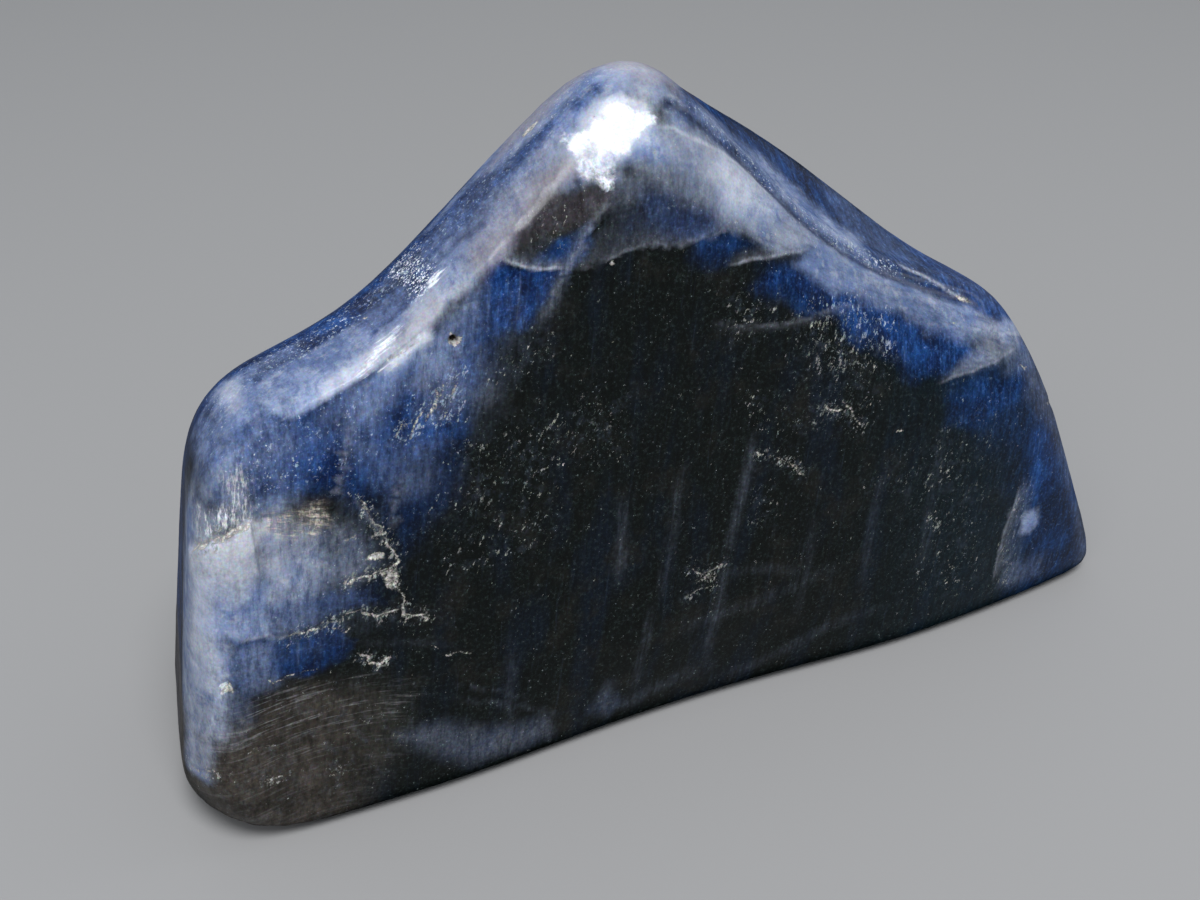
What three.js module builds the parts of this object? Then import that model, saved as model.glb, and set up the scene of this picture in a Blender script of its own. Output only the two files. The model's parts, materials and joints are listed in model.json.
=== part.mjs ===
// A hand-polished freeform of blue sapphire: one solid stone that stands on a flat base.
// It is a peaked slab. A tall left shoulder and a low right end meet at an off-centre summit, both slopes
// sag between their ends, the right one is scooped out behind a front lip, and every edge is rounded.
//
// Units are millimetres and +Z is up. The stone is described with its front foot along X near y = 0, from
// x = 0 at the left end, and with +Y running to the back. At the end it is moved so that the origin is the
// centre of its box's base.
//
// The stone is the inside of a set of faces. Each face is a function that is negative inside and measures
// roughly in millimetres, and the faces are joined by a smooth maximum, which rounds the edge between them.
import * as THREE from "three";
import { mergeVertices } from "three/addons/utils/BufferGeometryUtils.js";

// Driving dimensions.
const LEFT_END_X = -0.5; // the left end, at shoulder level
const RIGHT_FOOT_X = 62.1; // the foot of the right end
const FRONT_FOOT_Y = -1.75;
const BACK_FOOT_Y = 22;
const SUMMIT = { x: 26.2, z: 41.1 }; // where the two slopes would meet, before the summit is rounded
const SADDLE = { x: 11.9, z: 28.8 }; // where the left slope bends upwards
const SHOULDER_FALL = 0.34; // slope from the saddle down to the left shoulder
const RIGHT_FALL = 0.735; // slope from the summit down to the right end
const CREST_Y = 4.2; // the front bevel rises to a crest this far back
const BEVEL_RUN = 3; // how far in front of the crest the bevel's full drop is reached
const LEFT_BEVEL_DROP = 0.1;
const RIGHT_BEVEL_DROP = 3.2;
const SCOOP_DEPTH = 2.9; // hollow along the front of the right slope
const SWELL_HEIGHT = 1.6; // the right slope's back edge stands this much proud of a straight line

// Radii of the rounded edges.
const EDGE = {
  top: 4,
  leftEnd: 3.4,
  rightEnd: 3.2,
  rightFacet: 1.5,
  leftBevel: 1.2,
  leftFoot: 2,
  base: 1.8,
};
const SUMMIT_ROUND = 5;
const SADDLE_ROUND = 1.6;
const LIP = { left: 0.8, top: 2.2, rightEnd: 1.6 }; // the front face's edge: crisp on the left, then softer

// Rounds the edge where two faces meet: the larger of the two, plus a fillet of about radius r.
function smoothMax(a, b, r) {
  const overlap = Math.max(r - Math.abs(a - b), 0);
  return Math.max(a, b) + (overlap * overlap) / (4 * r);
}

const smoothMin = (a, b, r) => -smoothMax(-a, -b, r);

// 0 below low, 1 above high, and smooth in between.
function smoothStep(value, low, high) {
  const t = THREE.MathUtils.clamp((value - low) / (high - low), 0, 1);
  return t * t * (3 - 2 * t);
}

// A soft bump of height 1 around middle, reaching to zero at half a width either side.
function bump(value, middle, width) {
  const t = Math.min(Math.abs(value - middle) / (width / 2), 1);
  return (1 - t * t) * (1 - t * t);
}

// A flat face through a point, facing along a direction.
function flat(direction, point) {
  const normal = new THREE.Vector3(...direction).normalize();
  const offset = normal.dot(new THREE.Vector3(...point));
  return (p) => normal.dot(p) - offset;
}

const base = (p) => -p.z;
const leftEnd = flat([-1, 0.16, 0.16], [LEFT_END_X, 8, 8]);
const leftBevel = flat([-0.83, -0.55, 0.1], [LEFT_END_X + 0.6, -0.7, 8]);
const leftFoot = flat([-0.62, -0.3, -0.72], [LEFT_END_X + 1.7, 0.2, 0]);
const rightEnd = flat([1, -0.12, 0.41], [RIGHT_FOOT_X, 3, 0]);
const rightFacet = flat([0.16, -1, 0.02], [RIGHT_FOOT_X - 8.1, -1, 6]);

// The broad front leans back a little and swells in the middle. Its foot is drawn in by a shallow scallop.
const FRONT_LEAN = 0.06;
const FRONT_SWELL = { x: 24, z: 14, fallX: 0.5 / 36 ** 2, fallZ: 0.55 / 20 ** 2 };
const FOOT_SCALLOP = { x: 28, width: 34, depth: 0.8, height: 9 };
function front(p) {
  const sideways = FRONT_SWELL.fallX * (p.x - FRONT_SWELL.x) ** 2;
  const upwards = FRONT_SWELL.fallZ * (p.z - FRONT_SWELL.z) ** 2;
  const nearFoot = 1 - smoothStep(p.z, 0, FOOT_SCALLOP.height);
  const scallop = FOOT_SCALLOP.depth * bump(p.x, FOOT_SCALLOP.x, FOOT_SCALLOP.width) * nearFoot;
  return FRONT_FOOT_Y + FRONT_LEAN * p.z + sideways + upwards + scallop - p.y;
}

// The back leans forward more, so the slab is thinner at the top. It is two broad faces that meet at a soft
// upright ridge.
const BACK_RIDGE_ROUND = 6;
const backLeft = flat([-0.16, 1, 0.27], [20, BACK_FOOT_Y, 0]);
const backRight = flat([0.2, 1, 0.33], [36, BACK_FOOT_Y, 0]);
const back = (p) => smoothMax(backLeft(p), backRight(p), BACK_RIDGE_ROUND);

// Height of the left slope: from the shoulder it rises gently to the saddle, then steeply to the summit.
const LEFT_RISE = (SUMMIT.z - SADDLE.z) / (SUMMIT.x - SADDLE.x);
function leftSlope(x) {
  const fromSaddle = x - SADDLE.x;
  return SADDLE.z + smoothMax(SHOULDER_FALL * fromSaddle, LEFT_RISE * fromSaddle, SADDLE_ROUND);
}

// Height of the right slope: it swells along its back edge, and is scooped out along its front lip.
const SCOOP = { x: 39.5, length: 27, frontY: 4.5, backY: 10 };
const SWELL = { x: 37, length: 26 };
function rightSlope(x, y) {
  const behind = smoothStep(y, SCOOP.frontY, SCOOP.backY);
  const scoop = SCOOP_DEPTH * bump(x, SCOOP.x, SCOOP.length) * (1 - behind);
  const swell = SWELL_HEIGHT * bump(x, SWELL.x, SWELL.length) * behind;
  return SUMMIT.z - RIGHT_FALL * (x - SUMMIT.x) - scoop + swell;
}

// The whole top. In front of the crest it drops to the front face, hardly on the left and most past the
// summit, and behind the crest it curves gently down to the back.
const LEFT_CROWN = 0.065;
const RIGHT_CROWN = 0.04;
const STEEPNESS = 0.8; // brings the height above the slopes down to a distance from them
function top(p) {
  const pastSaddle = smoothStep(p.x, SADDLE.x + 3, SUMMIT.x);
  const drop = THREE.MathUtils.lerp(LEFT_BEVEL_DROP, RIGHT_BEVEL_DROP, pastSaddle);
  const bevel = drop * (Math.max(CREST_Y - p.y, 0) / BEVEL_RUN) ** 1.5;
  const curve = THREE.MathUtils.lerp(LEFT_CROWN, RIGHT_CROWN, pastSaddle);
  const crown = curve * Math.max(p.y - CREST_Y, 0) ** 2;
  const height = smoothMin(leftSlope(p.x), rightSlope(p.x, p.y), SUMMIT_ROUND);
  return (p.z - height + bevel + crown) * STEEPNESS;
}

// The radius of the front face's edge at p.
function lipRadius(p) {
  const soft = smoothStep(p.x, 14, 24) * smoothStep(p.z, 2, 12);
  const atRightEnd = smoothStep(p.x, 50, 58);
  return LIP.left + (LIP.top - LIP.left) * soft + (LIP.rightEnd - LIP.left) * atRightEnd;
}

function stone(p) {
  let d = smoothMax(top(p), back(p), EDGE.top);
  d = smoothMax(d, leftEnd(p), EDGE.leftEnd);
  d = smoothMax(d, rightEnd(p), EDGE.rightEnd);
  d = smoothMax(d, smoothMax(front(p), rightFacet(p), EDGE.rightFacet), lipRadius(p));
  d = smoothMax(d, leftBevel(p), EDGE.leftBevel);
  d = smoothMax(d, leftFoot(p), EDGE.leftFoot);
  return smoothMax(d, base(p), EDGE.base);
}

// The slope of the stone function at p, by central differences.
function gradient(p) {
  const step = 0.02;
  const q = p.clone();
  const along = (axis) => {
    q.copy(p);
    q[axis] += step;
    const ahead = stone(q);
    q[axis] -= 2 * step;
    return (ahead - stone(q)) / (2 * step);
  };
  return new THREE.Vector3(along("x"), along("y"), along("z"));
}

// Moves p onto the surface along the gradient, and returns the surface's normal there.
function settle(p) {
  let slope;
  for (let i = 0; i < 4; i++) {
    slope = gradient(p);
    p.addScaledVector(slope, -stone(p) / slope.lengthSq());
  }
  return slope.normalize();
}

// The point where a ray from the heart leaves the stone, by halving.
const HEART = new THREE.Vector3(29, 9.5, 14); // a point well inside, from which all the surface can be seen
function outlet(ray) {
  let near = 0;
  let far = 60;
  while (far - near > 1e-6) {
    const middle = (near + far) / 2;
    if (stone(HEART.clone().addScaledVector(ray, middle)) < 0) near = middle;
    else far = middle;
  }
  return HEART.clone().addScaledVector(ray, near);
}

// The vertices that share a triangle's side with each vertex.
function neighbourLists(index, count) {
  const neighbours = Array.from({ length: count }, () => new Set());
  for (let i = 0; i < index.length; i += 3) {
    for (let j = 0; j < 3; j++) {
      neighbours[index[i + j]].add(index[i + ((j + 1) % 3)]);
      neighbours[index[i + j]].add(index[i + ((j + 2) % 3)]);
    }
  }
  return neighbours;
}

// A ball of even triangles, let out along rays from the heart until it meets the surface, then evened out.
const SPAN = new THREE.Vector3(34, 14, 24); // the stone's rough half sizes, which spread the rays
const BALL_DETAIL = 20;
const EVENING_ROUNDS = 100;
const EVENING_STRIDE = 0.6; // how much of the way to its neighbours' mean a vertex goes in each round
const EDGE_PULL = 4; // how strongly rounded edges draw vertices to them from the flats
function skin() {
  const ball = new THREE.IcosahedronGeometry(1, BALL_DETAIL);
  ball.deleteAttribute("normal");
  ball.deleteAttribute("uv");
  const geometry = mergeVertices(ball, 1e-5);
  const position = geometry.getAttribute("position");
  const points = [];
  for (let i = 0; i < position.count; i++) {
    const ray = new THREE.Vector3().fromBufferAttribute(position, i).multiply(SPAN).normalize();
    points.push(outlet(ray));
  }
  const neighbours = neighbourLists(geometry.getIndex().array, points.length);
  let normals = points.map(settle);
  for (let round = 0; round < EVENING_ROUNDS; round++) {
    const moved = points.map((p, i) => {
      const mean = new THREE.Vector3();
      let total = 0;
      for (const n of neighbours[i]) {
        const weight = 1 + EDGE_PULL * normals[i].distanceTo(normals[n]);
        mean.addScaledVector(points[n], weight);
        total += weight;
      }
      return p.clone().lerp(mean.divideScalar(total), EVENING_STRIDE);
    });
    normals = moved.map(settle);
    moved.forEach((p, i) => points[i].copy(p));
  }
  points.forEach((p, i) => position.setXYZ(i, p.x, p.y, Math.max(p.z, 0)));
  return geometry;
}

const geometry = skin();
geometry.computeBoundingBox();
geometry.computeVertexNormals();

const polished = new THREE.MeshStandardMaterial({ color: 0x16213f, roughness: 0.16, metalness: 0 });
const sapphire = new THREE.Mesh(geometry, polished);
sapphire.name = "sapphire";
const box = geometry.boundingBox;
sapphire.position.set(-(box.min.x + box.max.x) / 2, -(box.min.y + box.max.y) / 2, -box.min.z);

const group = new THREE.Group();
group.add(sapphire);

export default group;
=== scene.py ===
"""The looks of a polished sapphire: its fine surface, its colours, and the floor, lights and camera.

Places on the stone are in millimetres on its own axes: X runs along the foot from the left end, Y from the
front face to the back, and Z up from the ground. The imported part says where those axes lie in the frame.
"""

import json
import math

import bpy
import numpy as np
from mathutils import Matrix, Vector, noise

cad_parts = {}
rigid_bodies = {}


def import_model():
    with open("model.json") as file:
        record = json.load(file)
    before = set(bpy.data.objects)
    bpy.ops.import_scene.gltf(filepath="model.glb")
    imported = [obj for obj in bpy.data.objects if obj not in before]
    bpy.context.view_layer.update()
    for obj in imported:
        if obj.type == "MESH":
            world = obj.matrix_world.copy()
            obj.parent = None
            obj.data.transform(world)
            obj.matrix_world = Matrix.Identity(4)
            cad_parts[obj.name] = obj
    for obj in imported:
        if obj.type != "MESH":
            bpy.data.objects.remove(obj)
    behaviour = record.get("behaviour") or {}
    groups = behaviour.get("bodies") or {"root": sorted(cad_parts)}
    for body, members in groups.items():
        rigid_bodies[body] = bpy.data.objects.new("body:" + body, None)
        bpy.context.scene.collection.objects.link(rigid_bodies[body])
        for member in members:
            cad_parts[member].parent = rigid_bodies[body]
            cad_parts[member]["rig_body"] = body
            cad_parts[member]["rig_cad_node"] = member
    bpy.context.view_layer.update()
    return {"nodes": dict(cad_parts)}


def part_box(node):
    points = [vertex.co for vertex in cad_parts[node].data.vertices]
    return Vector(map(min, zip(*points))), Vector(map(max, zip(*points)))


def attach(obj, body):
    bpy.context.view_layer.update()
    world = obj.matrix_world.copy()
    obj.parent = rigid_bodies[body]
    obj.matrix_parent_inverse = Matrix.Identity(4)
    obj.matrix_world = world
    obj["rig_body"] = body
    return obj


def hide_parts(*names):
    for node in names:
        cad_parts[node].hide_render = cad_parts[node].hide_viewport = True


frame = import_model()

MM = 0.001
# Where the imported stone's lowest corner lies on the stone's own axes.
LEFT_MOST = -1.901
FRONT_MOST = -1.371
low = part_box("sapphire")[0]
ORIGIN = Vector((low.x / MM - LEFT_MOST, low.y / MM - FRONT_MOST, low.z / MM))

# The growth layers stand almost upright and lean to the right by this much.
LAYER_LEAN = math.radians(8)


def in_frame(point):
    """A place on the stone, in millimetres, as a place in the frame, in metres."""
    return (Vector(point) + ORIGIN) * MM


# ---------------------------------------------------------------- where things are on the stone

# On the front face: (outline of X, Z points, how strong, how far its edge fades).
FRONT_ROYAL = [
    ([(2, 24.8), (6, 26.8), (11, 27.8), (14, 29.2), (16.4, 31.2), (17.6, 31.4), (17, 29.3), (16.4, 27),
      (14.6, 24), (12, 22.6), (8.2, 21.9), (4, 22.2), (2, 22.2)], 0.8, 1),
    ([(4, 24.6), (7.6, 25), (8.4, 22.6), (7.6, 22.1), (4.2, 22.3)], 0.8, 0.7),
    ([(7.8, 22.2), (12.5, 24), (14.6, 23.6), (13.6, 20), (11, 17.4), (9.8, 19.5), (8.5, 21)], 0.3, 1.2),
    ([(1.2, 14.4), (3.6, 14.4), (4.2, 14), (6.8, 13.9), (7.4, 12.2), (5, 11.5), (1.2, 11.3)], 0.55, 0.35),
    ([(1, 17.6), (2, 17.6), (3.6, 16.2), (9, 16.1), (9.4, 14.6), (3.6, 14.3), (1.2, 14.4)], 0.5, 0.5),
    ([(16.6, 32), (17.5, 32.3), (18.6, 31.7), (20.9, 31.1), (19.8, 29.4), (18.6, 28.6),
      (16.8, 28.8)], 0.9, 0.35),
    ([(18.4, 32.3), (20.4, 33), (22.3, 33.3), (22.6, 32.6), (21.2, 31.3), (19.6, 31.6)], 0.55, 0.3),
    ([(26.8, 32.8), (28.6, 33.2), (29.6, 32.2), (28.6, 31.4), (27, 31.6)], 0.4, 0.5),
    ([(25, 34.6), (28, 34.4), (29.5, 33), (30.6, 31.9), (28.6, 31.5), (26, 32), (24.6, 33)], 0.3, 0.7),
    ([(28.4, 31.6), (30.4, 31.5), (31.4, 30.2), (30, 29.8), (28.2, 30.4)], 0.5, 0.8),
    ([(33, 29.2), (36, 28), (41.5, 24.8), (47, 21.6), (49, 19.6), (43.6, 19.8), (42, 21.2), (38.8, 23.4),
      (36.4, 26), (32, 28.2)], 0.78, 0.8),
    ([(46, 19), (53, 19.2), (56, 15), (59, 7), (61.4, 1.5), (58, 0.6), (52.5, 1.2), (52.4, 9), (50, 13.5),
      (47, 16.8)], 0.28, 1.6),
    ([(52.8, 19), (54.8, 18.6), (57.6, 12.6), (60.6, 5), (61.6, 1.4), (55, 1.2), (53.4, 6),
      (53, 12)], 0.24, 0.8),
    ([(46, 17.8), (52.4, 18.4), (53, 16.6), (48.6, 15.8), (45.6, 16.4)], 0.42, 0.8),
    ([(52.6, 13.6), (54.6, 13.8), (56, 12), (55, 9), (52.6, 9)], 0.38, 1),
]
FRONT_MILKY = [
    ([(0, 14.6), (0.4, 19), (1.2, 20.2), (3.2, 21.2), (3.35, 18.5), (3.3, 14.5), (1.8, 14.4),
      (1.2, 14.8)], 0.8, 0.3),
    ([(-2, 7.4), (-0.2, 7.8), (0.4, 8.6), (0.9, 11), (1.2, 14.6), (0.8, 20), (-1, 20)], 0.74, 0.5),
    ([(2.6, 20.8), (3.4, 22.2), (4.8, 22.5), (5.4, 21.2), (4.6, 19.6), (3.5, 19.4)], 0.45, 0.4),
    ([(-2, 4.4), (-0.8, 4.8), (-0.3, 7.4), (-2, 7.8)], 0.7, 0.4),
    ([(2.4, 24), (2.8, 25.8), (5.4, 26.2), (6, 24.8), (3.8, 24.2)], 0.24, 0.6),
    ([(0.8, 22.4), (1.4, 24.2), (3, 24.6), (3, 22.4)], 0.42, 0.5),
    ([(27, 38.4), (28.4, 38.2), (29, 37.2), (27.6, 37)], 0.3, 0.4),
    ([(9, 26.6), (10, 27.7), (11.4, 27.8), (11.2, 26.4), (10, 25.9)], 0.44, 0.5),
    ([(50.6, 18.4), (52.6, 19.1), (54, 18.4), (53, 17.4)], 0.2, 0.6),
    ([(3.3, 21), (4.6, 21.2), (5.8, 20.4), (6.4, 19.4), (6.7, 17.6), (6.4, 16.3), (5.5, 16.1),
      (3.3, 16.2)], 0.36, 0.5),
    ([(4, 20.8), (6.4, 20.4), (7, 19.4), (4, 19.4)], 0.16, 0.5),
    ([(3.3, 20.6), (6.6, 20.2), (8, 19.6), (8.9, 18.4), (8.8, 17.2), (8.2, 16.4), (3.3, 16.3)], 0.32, 0.8),
    # Milky haze that also carries the painted highlight on the upper left edge.
    ([(10.4, 27.4), (11.6, 28.7), (13.2, 29.6), (13.6, 29), (12.6, 28), (11.2, 27.2)], 0.84, 0.4),
    ([(7.4, 25.8), (9, 27.2), (11.6, 28), (11.4, 26), (9, 25.4)], 0.24, 0.7),
    ([(2.6, 25.2), (5, 26.2), (8.6, 27), (9, 25), (6, 23), (3, 22.4)], 0.08, 1),
    ([(3.8, 24.8), (5.4, 25), (5.6, 22.6), (4, 22.6)], 0.14, 0.6),
    ([(12.8, 27.4), (14.8, 27.7), (15.2, 25.2), (13, 24.4)], 0.22, 0.6),
    ([(1.2, 14), (3.4, 14), (3.3, 11.4), (1.3, 10.4)], 0.26, 0.5),
    ([(9.4, 23), (11, 24), (13.4, 23.4), (12.6, 20.8), (10.6, 20.6)], 0.16, 0.9),
    ([(22.4, 35.6), (25.6, 35.4), (25.4, 34.2), (23.4, 33.8)], 0.16, 0.5),
    ([(3.4, 18.8), (5.6, 19), (6.4, 18.2), (5.6, 16.9), (3.6, 16.6)], 0.42, 0.6),
    ([(3.5, 16.4), (5.6, 16.3), (5.8, 14.2), (3.6, 14.2)], 0.24, 0.4),
    ([(5.6, 16.3), (8.6, 16.2), (8.2, 15), (5.8, 14.4)], 0.08, 0.4),
    ([(8.2, 23.8), (9.2, 26.2), (10.2, 27.4), (10.8, 27), (10.4, 25), (9.8, 23.4)], 0.12, 0.5),
    ([(10.8, 27), (12.4, 28.3), (14.3, 29.7), (16.2, 31.2), (15.8, 29.4), (15, 28), (13.8, 27.2),
      (12.6, 26.6)], 0.4, 0.8),
    ([(15.4, 27.6), (16.4, 27.6), (16.8, 25), (15.4, 24.6)], 0.12, 0.7),
    ([(12.6, 29.2), (14.3, 29.9), (15.6, 30.9), (17.4, 32.5), (18.4, 33.4), (19.4, 34.2), (20.4, 35),
      (21.6, 35.4), (22.9, 35.9), (23, 37), (21.6, 38), (17, 34.6), (13, 31)], 0.62, 0.22),
    ([(21.5, 36.2), (23, 38.2), (24.9, 39.2), (26.7, 38.6), (26.4, 36.4), (25, 36), (22.4, 35.4)], 0.8, 0.4),
    ([(25.6, 37.3), (28, 37.4), (31, 35.3), (34.4, 31.9), (34.4, 31.2), (32.8, 31.6), (31, 31.6), (30, 32.2),
      (29.2, 33.4), (28, 34.7), (26.4, 35.6), (25, 36.2)], 0.62, 0.7),
    ([(25, 35.8), (26.8, 36), (29, 34), (30, 32.6), (28.6, 32.8), (26.6, 34.2)], 0.22, 0.5),
    ([(24.6, 36.8), (26.8, 36.9), (27.4, 35.9), (25.2, 35.5)], 0.34, 0.5),
    ([(29.6, 35), (31, 35), (33.6, 32.4), (33.4, 31.9), (31, 32.1), (29.8, 33.4)], 0.6, 0.6),
    ([(52.9, 7.4), (53.3, 7.9), (54.1, 7.6), (54.4, 6.5), (53.8, 5.9), (53.1, 6.2)], 0.8, 0.3),
    ([(31, 32.1), (34.4, 32), (37.5, 29.1), (36.3, 28.95), (33.8, 29.4), (32.8, 30), (32, 31)], 0.56, 0.4),
    ([(34.8, 28.6), (37.4, 29.1), (42, 26), (47, 23.2), (50.6, 21.1), (53.8, 19.6), (53, 19.5), (48.2, 21),
      (44.8, 23.7), (42, 25.2), (39.4, 25.9), (37.4, 26.3), (36.4, 27.4), (35.6, 28)], 0.62, 0.35),
    ([(46.4, 19.3), (48.6, 20.4), (49.6, 20.9), (51.6, 20.9), (53.8, 19.6), (54, 19.1),
      (52, 19.25)], 0.42, 0.4),
    ([(53.4, 19), (55.4, 16.4), (56.6, 14), (58.6, 9), (57.6, 8), (55.4, 13), (52.6, 16.4)], 0.16, 0.8),
    ([(58, 6.8), (59.4, 6.4), (61.4, 1.4), (59.4, 1.4), (58.4, 4.2)], 0.1, 0.6),
    ([(9.6, 5.4), (12, 5.4), (14.6, 3.8), (18.6, 3.2), (18.6, 1.8), (13.5, 1.8)], 0.2, 0.9),
    ([(21.4, 2.6), (22.6, 4.6), (23.4, 2.4), (22.8, 1.8)], 0.12, 0.6),
    ([(52.4, 3.8), (55.6, 3.6), (55.4, 2), (52.2, 2.2)], 0.16, 0.6),
    ([(21.2, 31.25), (23, 31.35), (24, 31.65), (25.2, 31.7), (27.5, 31.35), (30, 31.6), (30.6, 32),
      (29.2, 33.2), (28.2, 34.6), (27, 35.3), (25.2, 35.6), (23.2, 33.3), (22, 32.1)], 0.05, 0.12),
    ([(20.8, 34.9), (22.6, 35.3), (24.4, 35.6), (24.3, 34.9), (22.9, 34.7), (22, 34.9)], 0.3, 0.3),
]
# The brown growth at the lower left, and the brown strip under the summit that the milky growth leaves bare.
FRONT_BROWN = [
    ([(-2, 6.6), (0.2, 9.6), (2, 10.8), (7.6, 10.3), (10.4, 8), (9.6, 3.8), (7, 1.5), (2, -1),
      (-2, -1)], 0.95, 1.5),
]
BARE_BROWN = [
    ([(17.9, 32.5), (19.3, 34), (20.5, 34.9), (22.6, 35.1), (23.8, 34.9), (23.2, 34), (22.4, 33.5),
      (20.8, 32.9), (19.4, 32.1), (18.5, 32)], 0.9, 0.25),
]
# Brighter parts of the milky places, with painted highlights under the summit and along the upper left edge,
# and parts that are greyer than they are blue.
FRONT_GLOW_AND_HIGHLIGHT = [
    ([(0.5, 17), (0.5, 19.6), (1.4, 20.4), (3.2, 21.1), (3.2, 18.4), (2.4, 16.8)], 0.6, 0.6),
    ([(1.3, 19.4), (1.5, 20.6), (3.2, 21.5), (4.4, 21), (3.2, 19.6)], 0.9, 0.3),
    ([(28.4, 34.8), (29.6, 36), (31, 35.2), (31.4, 34), (29.6, 33.8)], 0.4, 0.4),
    ([(-0.8, 11), (-0.4, 16), (0.6, 19.4), (1, 16), (0.4, 11)], 0.5, 0.5),
    ([(3.5, 19), (4.8, 19), (4.7, 16.9), (3.5, 16.5)], 0.4, 0.4),
    ([(10.8, 27.8), (11.8, 28.7), (13.4, 29.6), (13.6, 29), (11.6, 27.8)], 0.95, 0.35),
    ([(30, 34.6), (31.4, 34.8), (33.2, 32.8), (31.4, 32.4), (30, 33.2)], 0.5, 0.6),
    ([(22.4, 36.4), (23.2, 38), (25.2, 38.9), (26.7, 38.3), (26, 37), (24.4, 36.2)], 1, 0.5),
    ([(22.2, 35.6), (24, 36.2), (24.2, 35.3), (22.8, 35)], 0.7, 0.3),
    ([(33.6, 30.8), (34.8, 31), (36.6, 29.4), (35.4, 29.3), (33.2, 30)], 0.4, 0.5),
]
FRONT_GREY = [
    ([(-2, 5), (0.6, 5), (0.9, 10.5), (-1, 10.5)], 0.9, 0.6),
    ([(-1, 18), (0.5, 20.4), (3.3, 21.6), (9, 21.2), (9.4, 19), (5.6, 18.2), (0.4, 18)], 0.7, 0.8),
    ([(48.6, 21.4), (50, 22.8), (52.4, 21.2), (50.6, 20.6)], 0.8, 0.4),
    ([(12.2, 27.2), (15.2, 27.8), (15.6, 24.6), (12.4, 24.2)], 0.8, 0.5),
    ([(11, 28.2), (14.2, 29.6), (17.4, 32.4), (22.6, 36), (22, 38), (16, 34)], 1, 0.5),
    ([(47, 20), (51, 21), (54.4, 19.4), (53, 19.1), (45, 19.1)], 1, 0.6),
    ([(27, 37.6), (31, 35.4), (34.4, 32), (32.6, 31.4), (29, 33), (27, 35.4)], 0.5, 0.6),
    ([(53, 19), (56, 16), (62, 2), (58, 1), (54, 13)], 0.7, 1),
    ([(21, 31), (31, 31.4), (29, 34), (25, 36), (22, 33)], 0.7, 0.6),
    ([(9, 5.4), (12, 5.4), (18.6, 3.4), (18.6, 1.6), (9, 1.6)], 0.6, 1),
]
# The same from above: (outline of X, Y points, strength, blur).
TOP_ROYAL = [
    ([(1.2, -0.4), (1.2, 7), (26, 7.6), (26, 4), (15, 1), (5, -0.4)], 0.75, 0.5),
    ([(6.4, 4.8), (13.3, 4.8), (13.3, 7.4), (6.4, 7.4)], 0.8, 0.3),
    ([(15, 4.3), (19.4, 4.3), (19.2, 7.2), (15, 7.2)], 0.7, 0.4),
    ([(20.2, 3.3), (22.3, 3.3), (22.5, 5), (20, 5.2)], 0.8, 0.3),
    ([(22.6, 3.4), (25, 3.4), (25.2, 4.8), (22.6, 5)], 0.6, 0.3),
    ([(10.9, 2.3), (13.4, 2.4), (13.4, 5), (10.8, 5)], 0.6, 0.3),
    ([(28, 2.6), (34, 2.8), (49, 2.8), (50, 8), (30, 8)], 0.6, 0.6),
    ([(47, 2.4), (50, 1.8), (53.4, 1.2), (55, 12), (46, 12)], 0.85, 0.8),
    ([(1, 6), (27, 6), (30, 9), (30, 13), (1, 13)], 0.7, 1.2),
]
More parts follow.
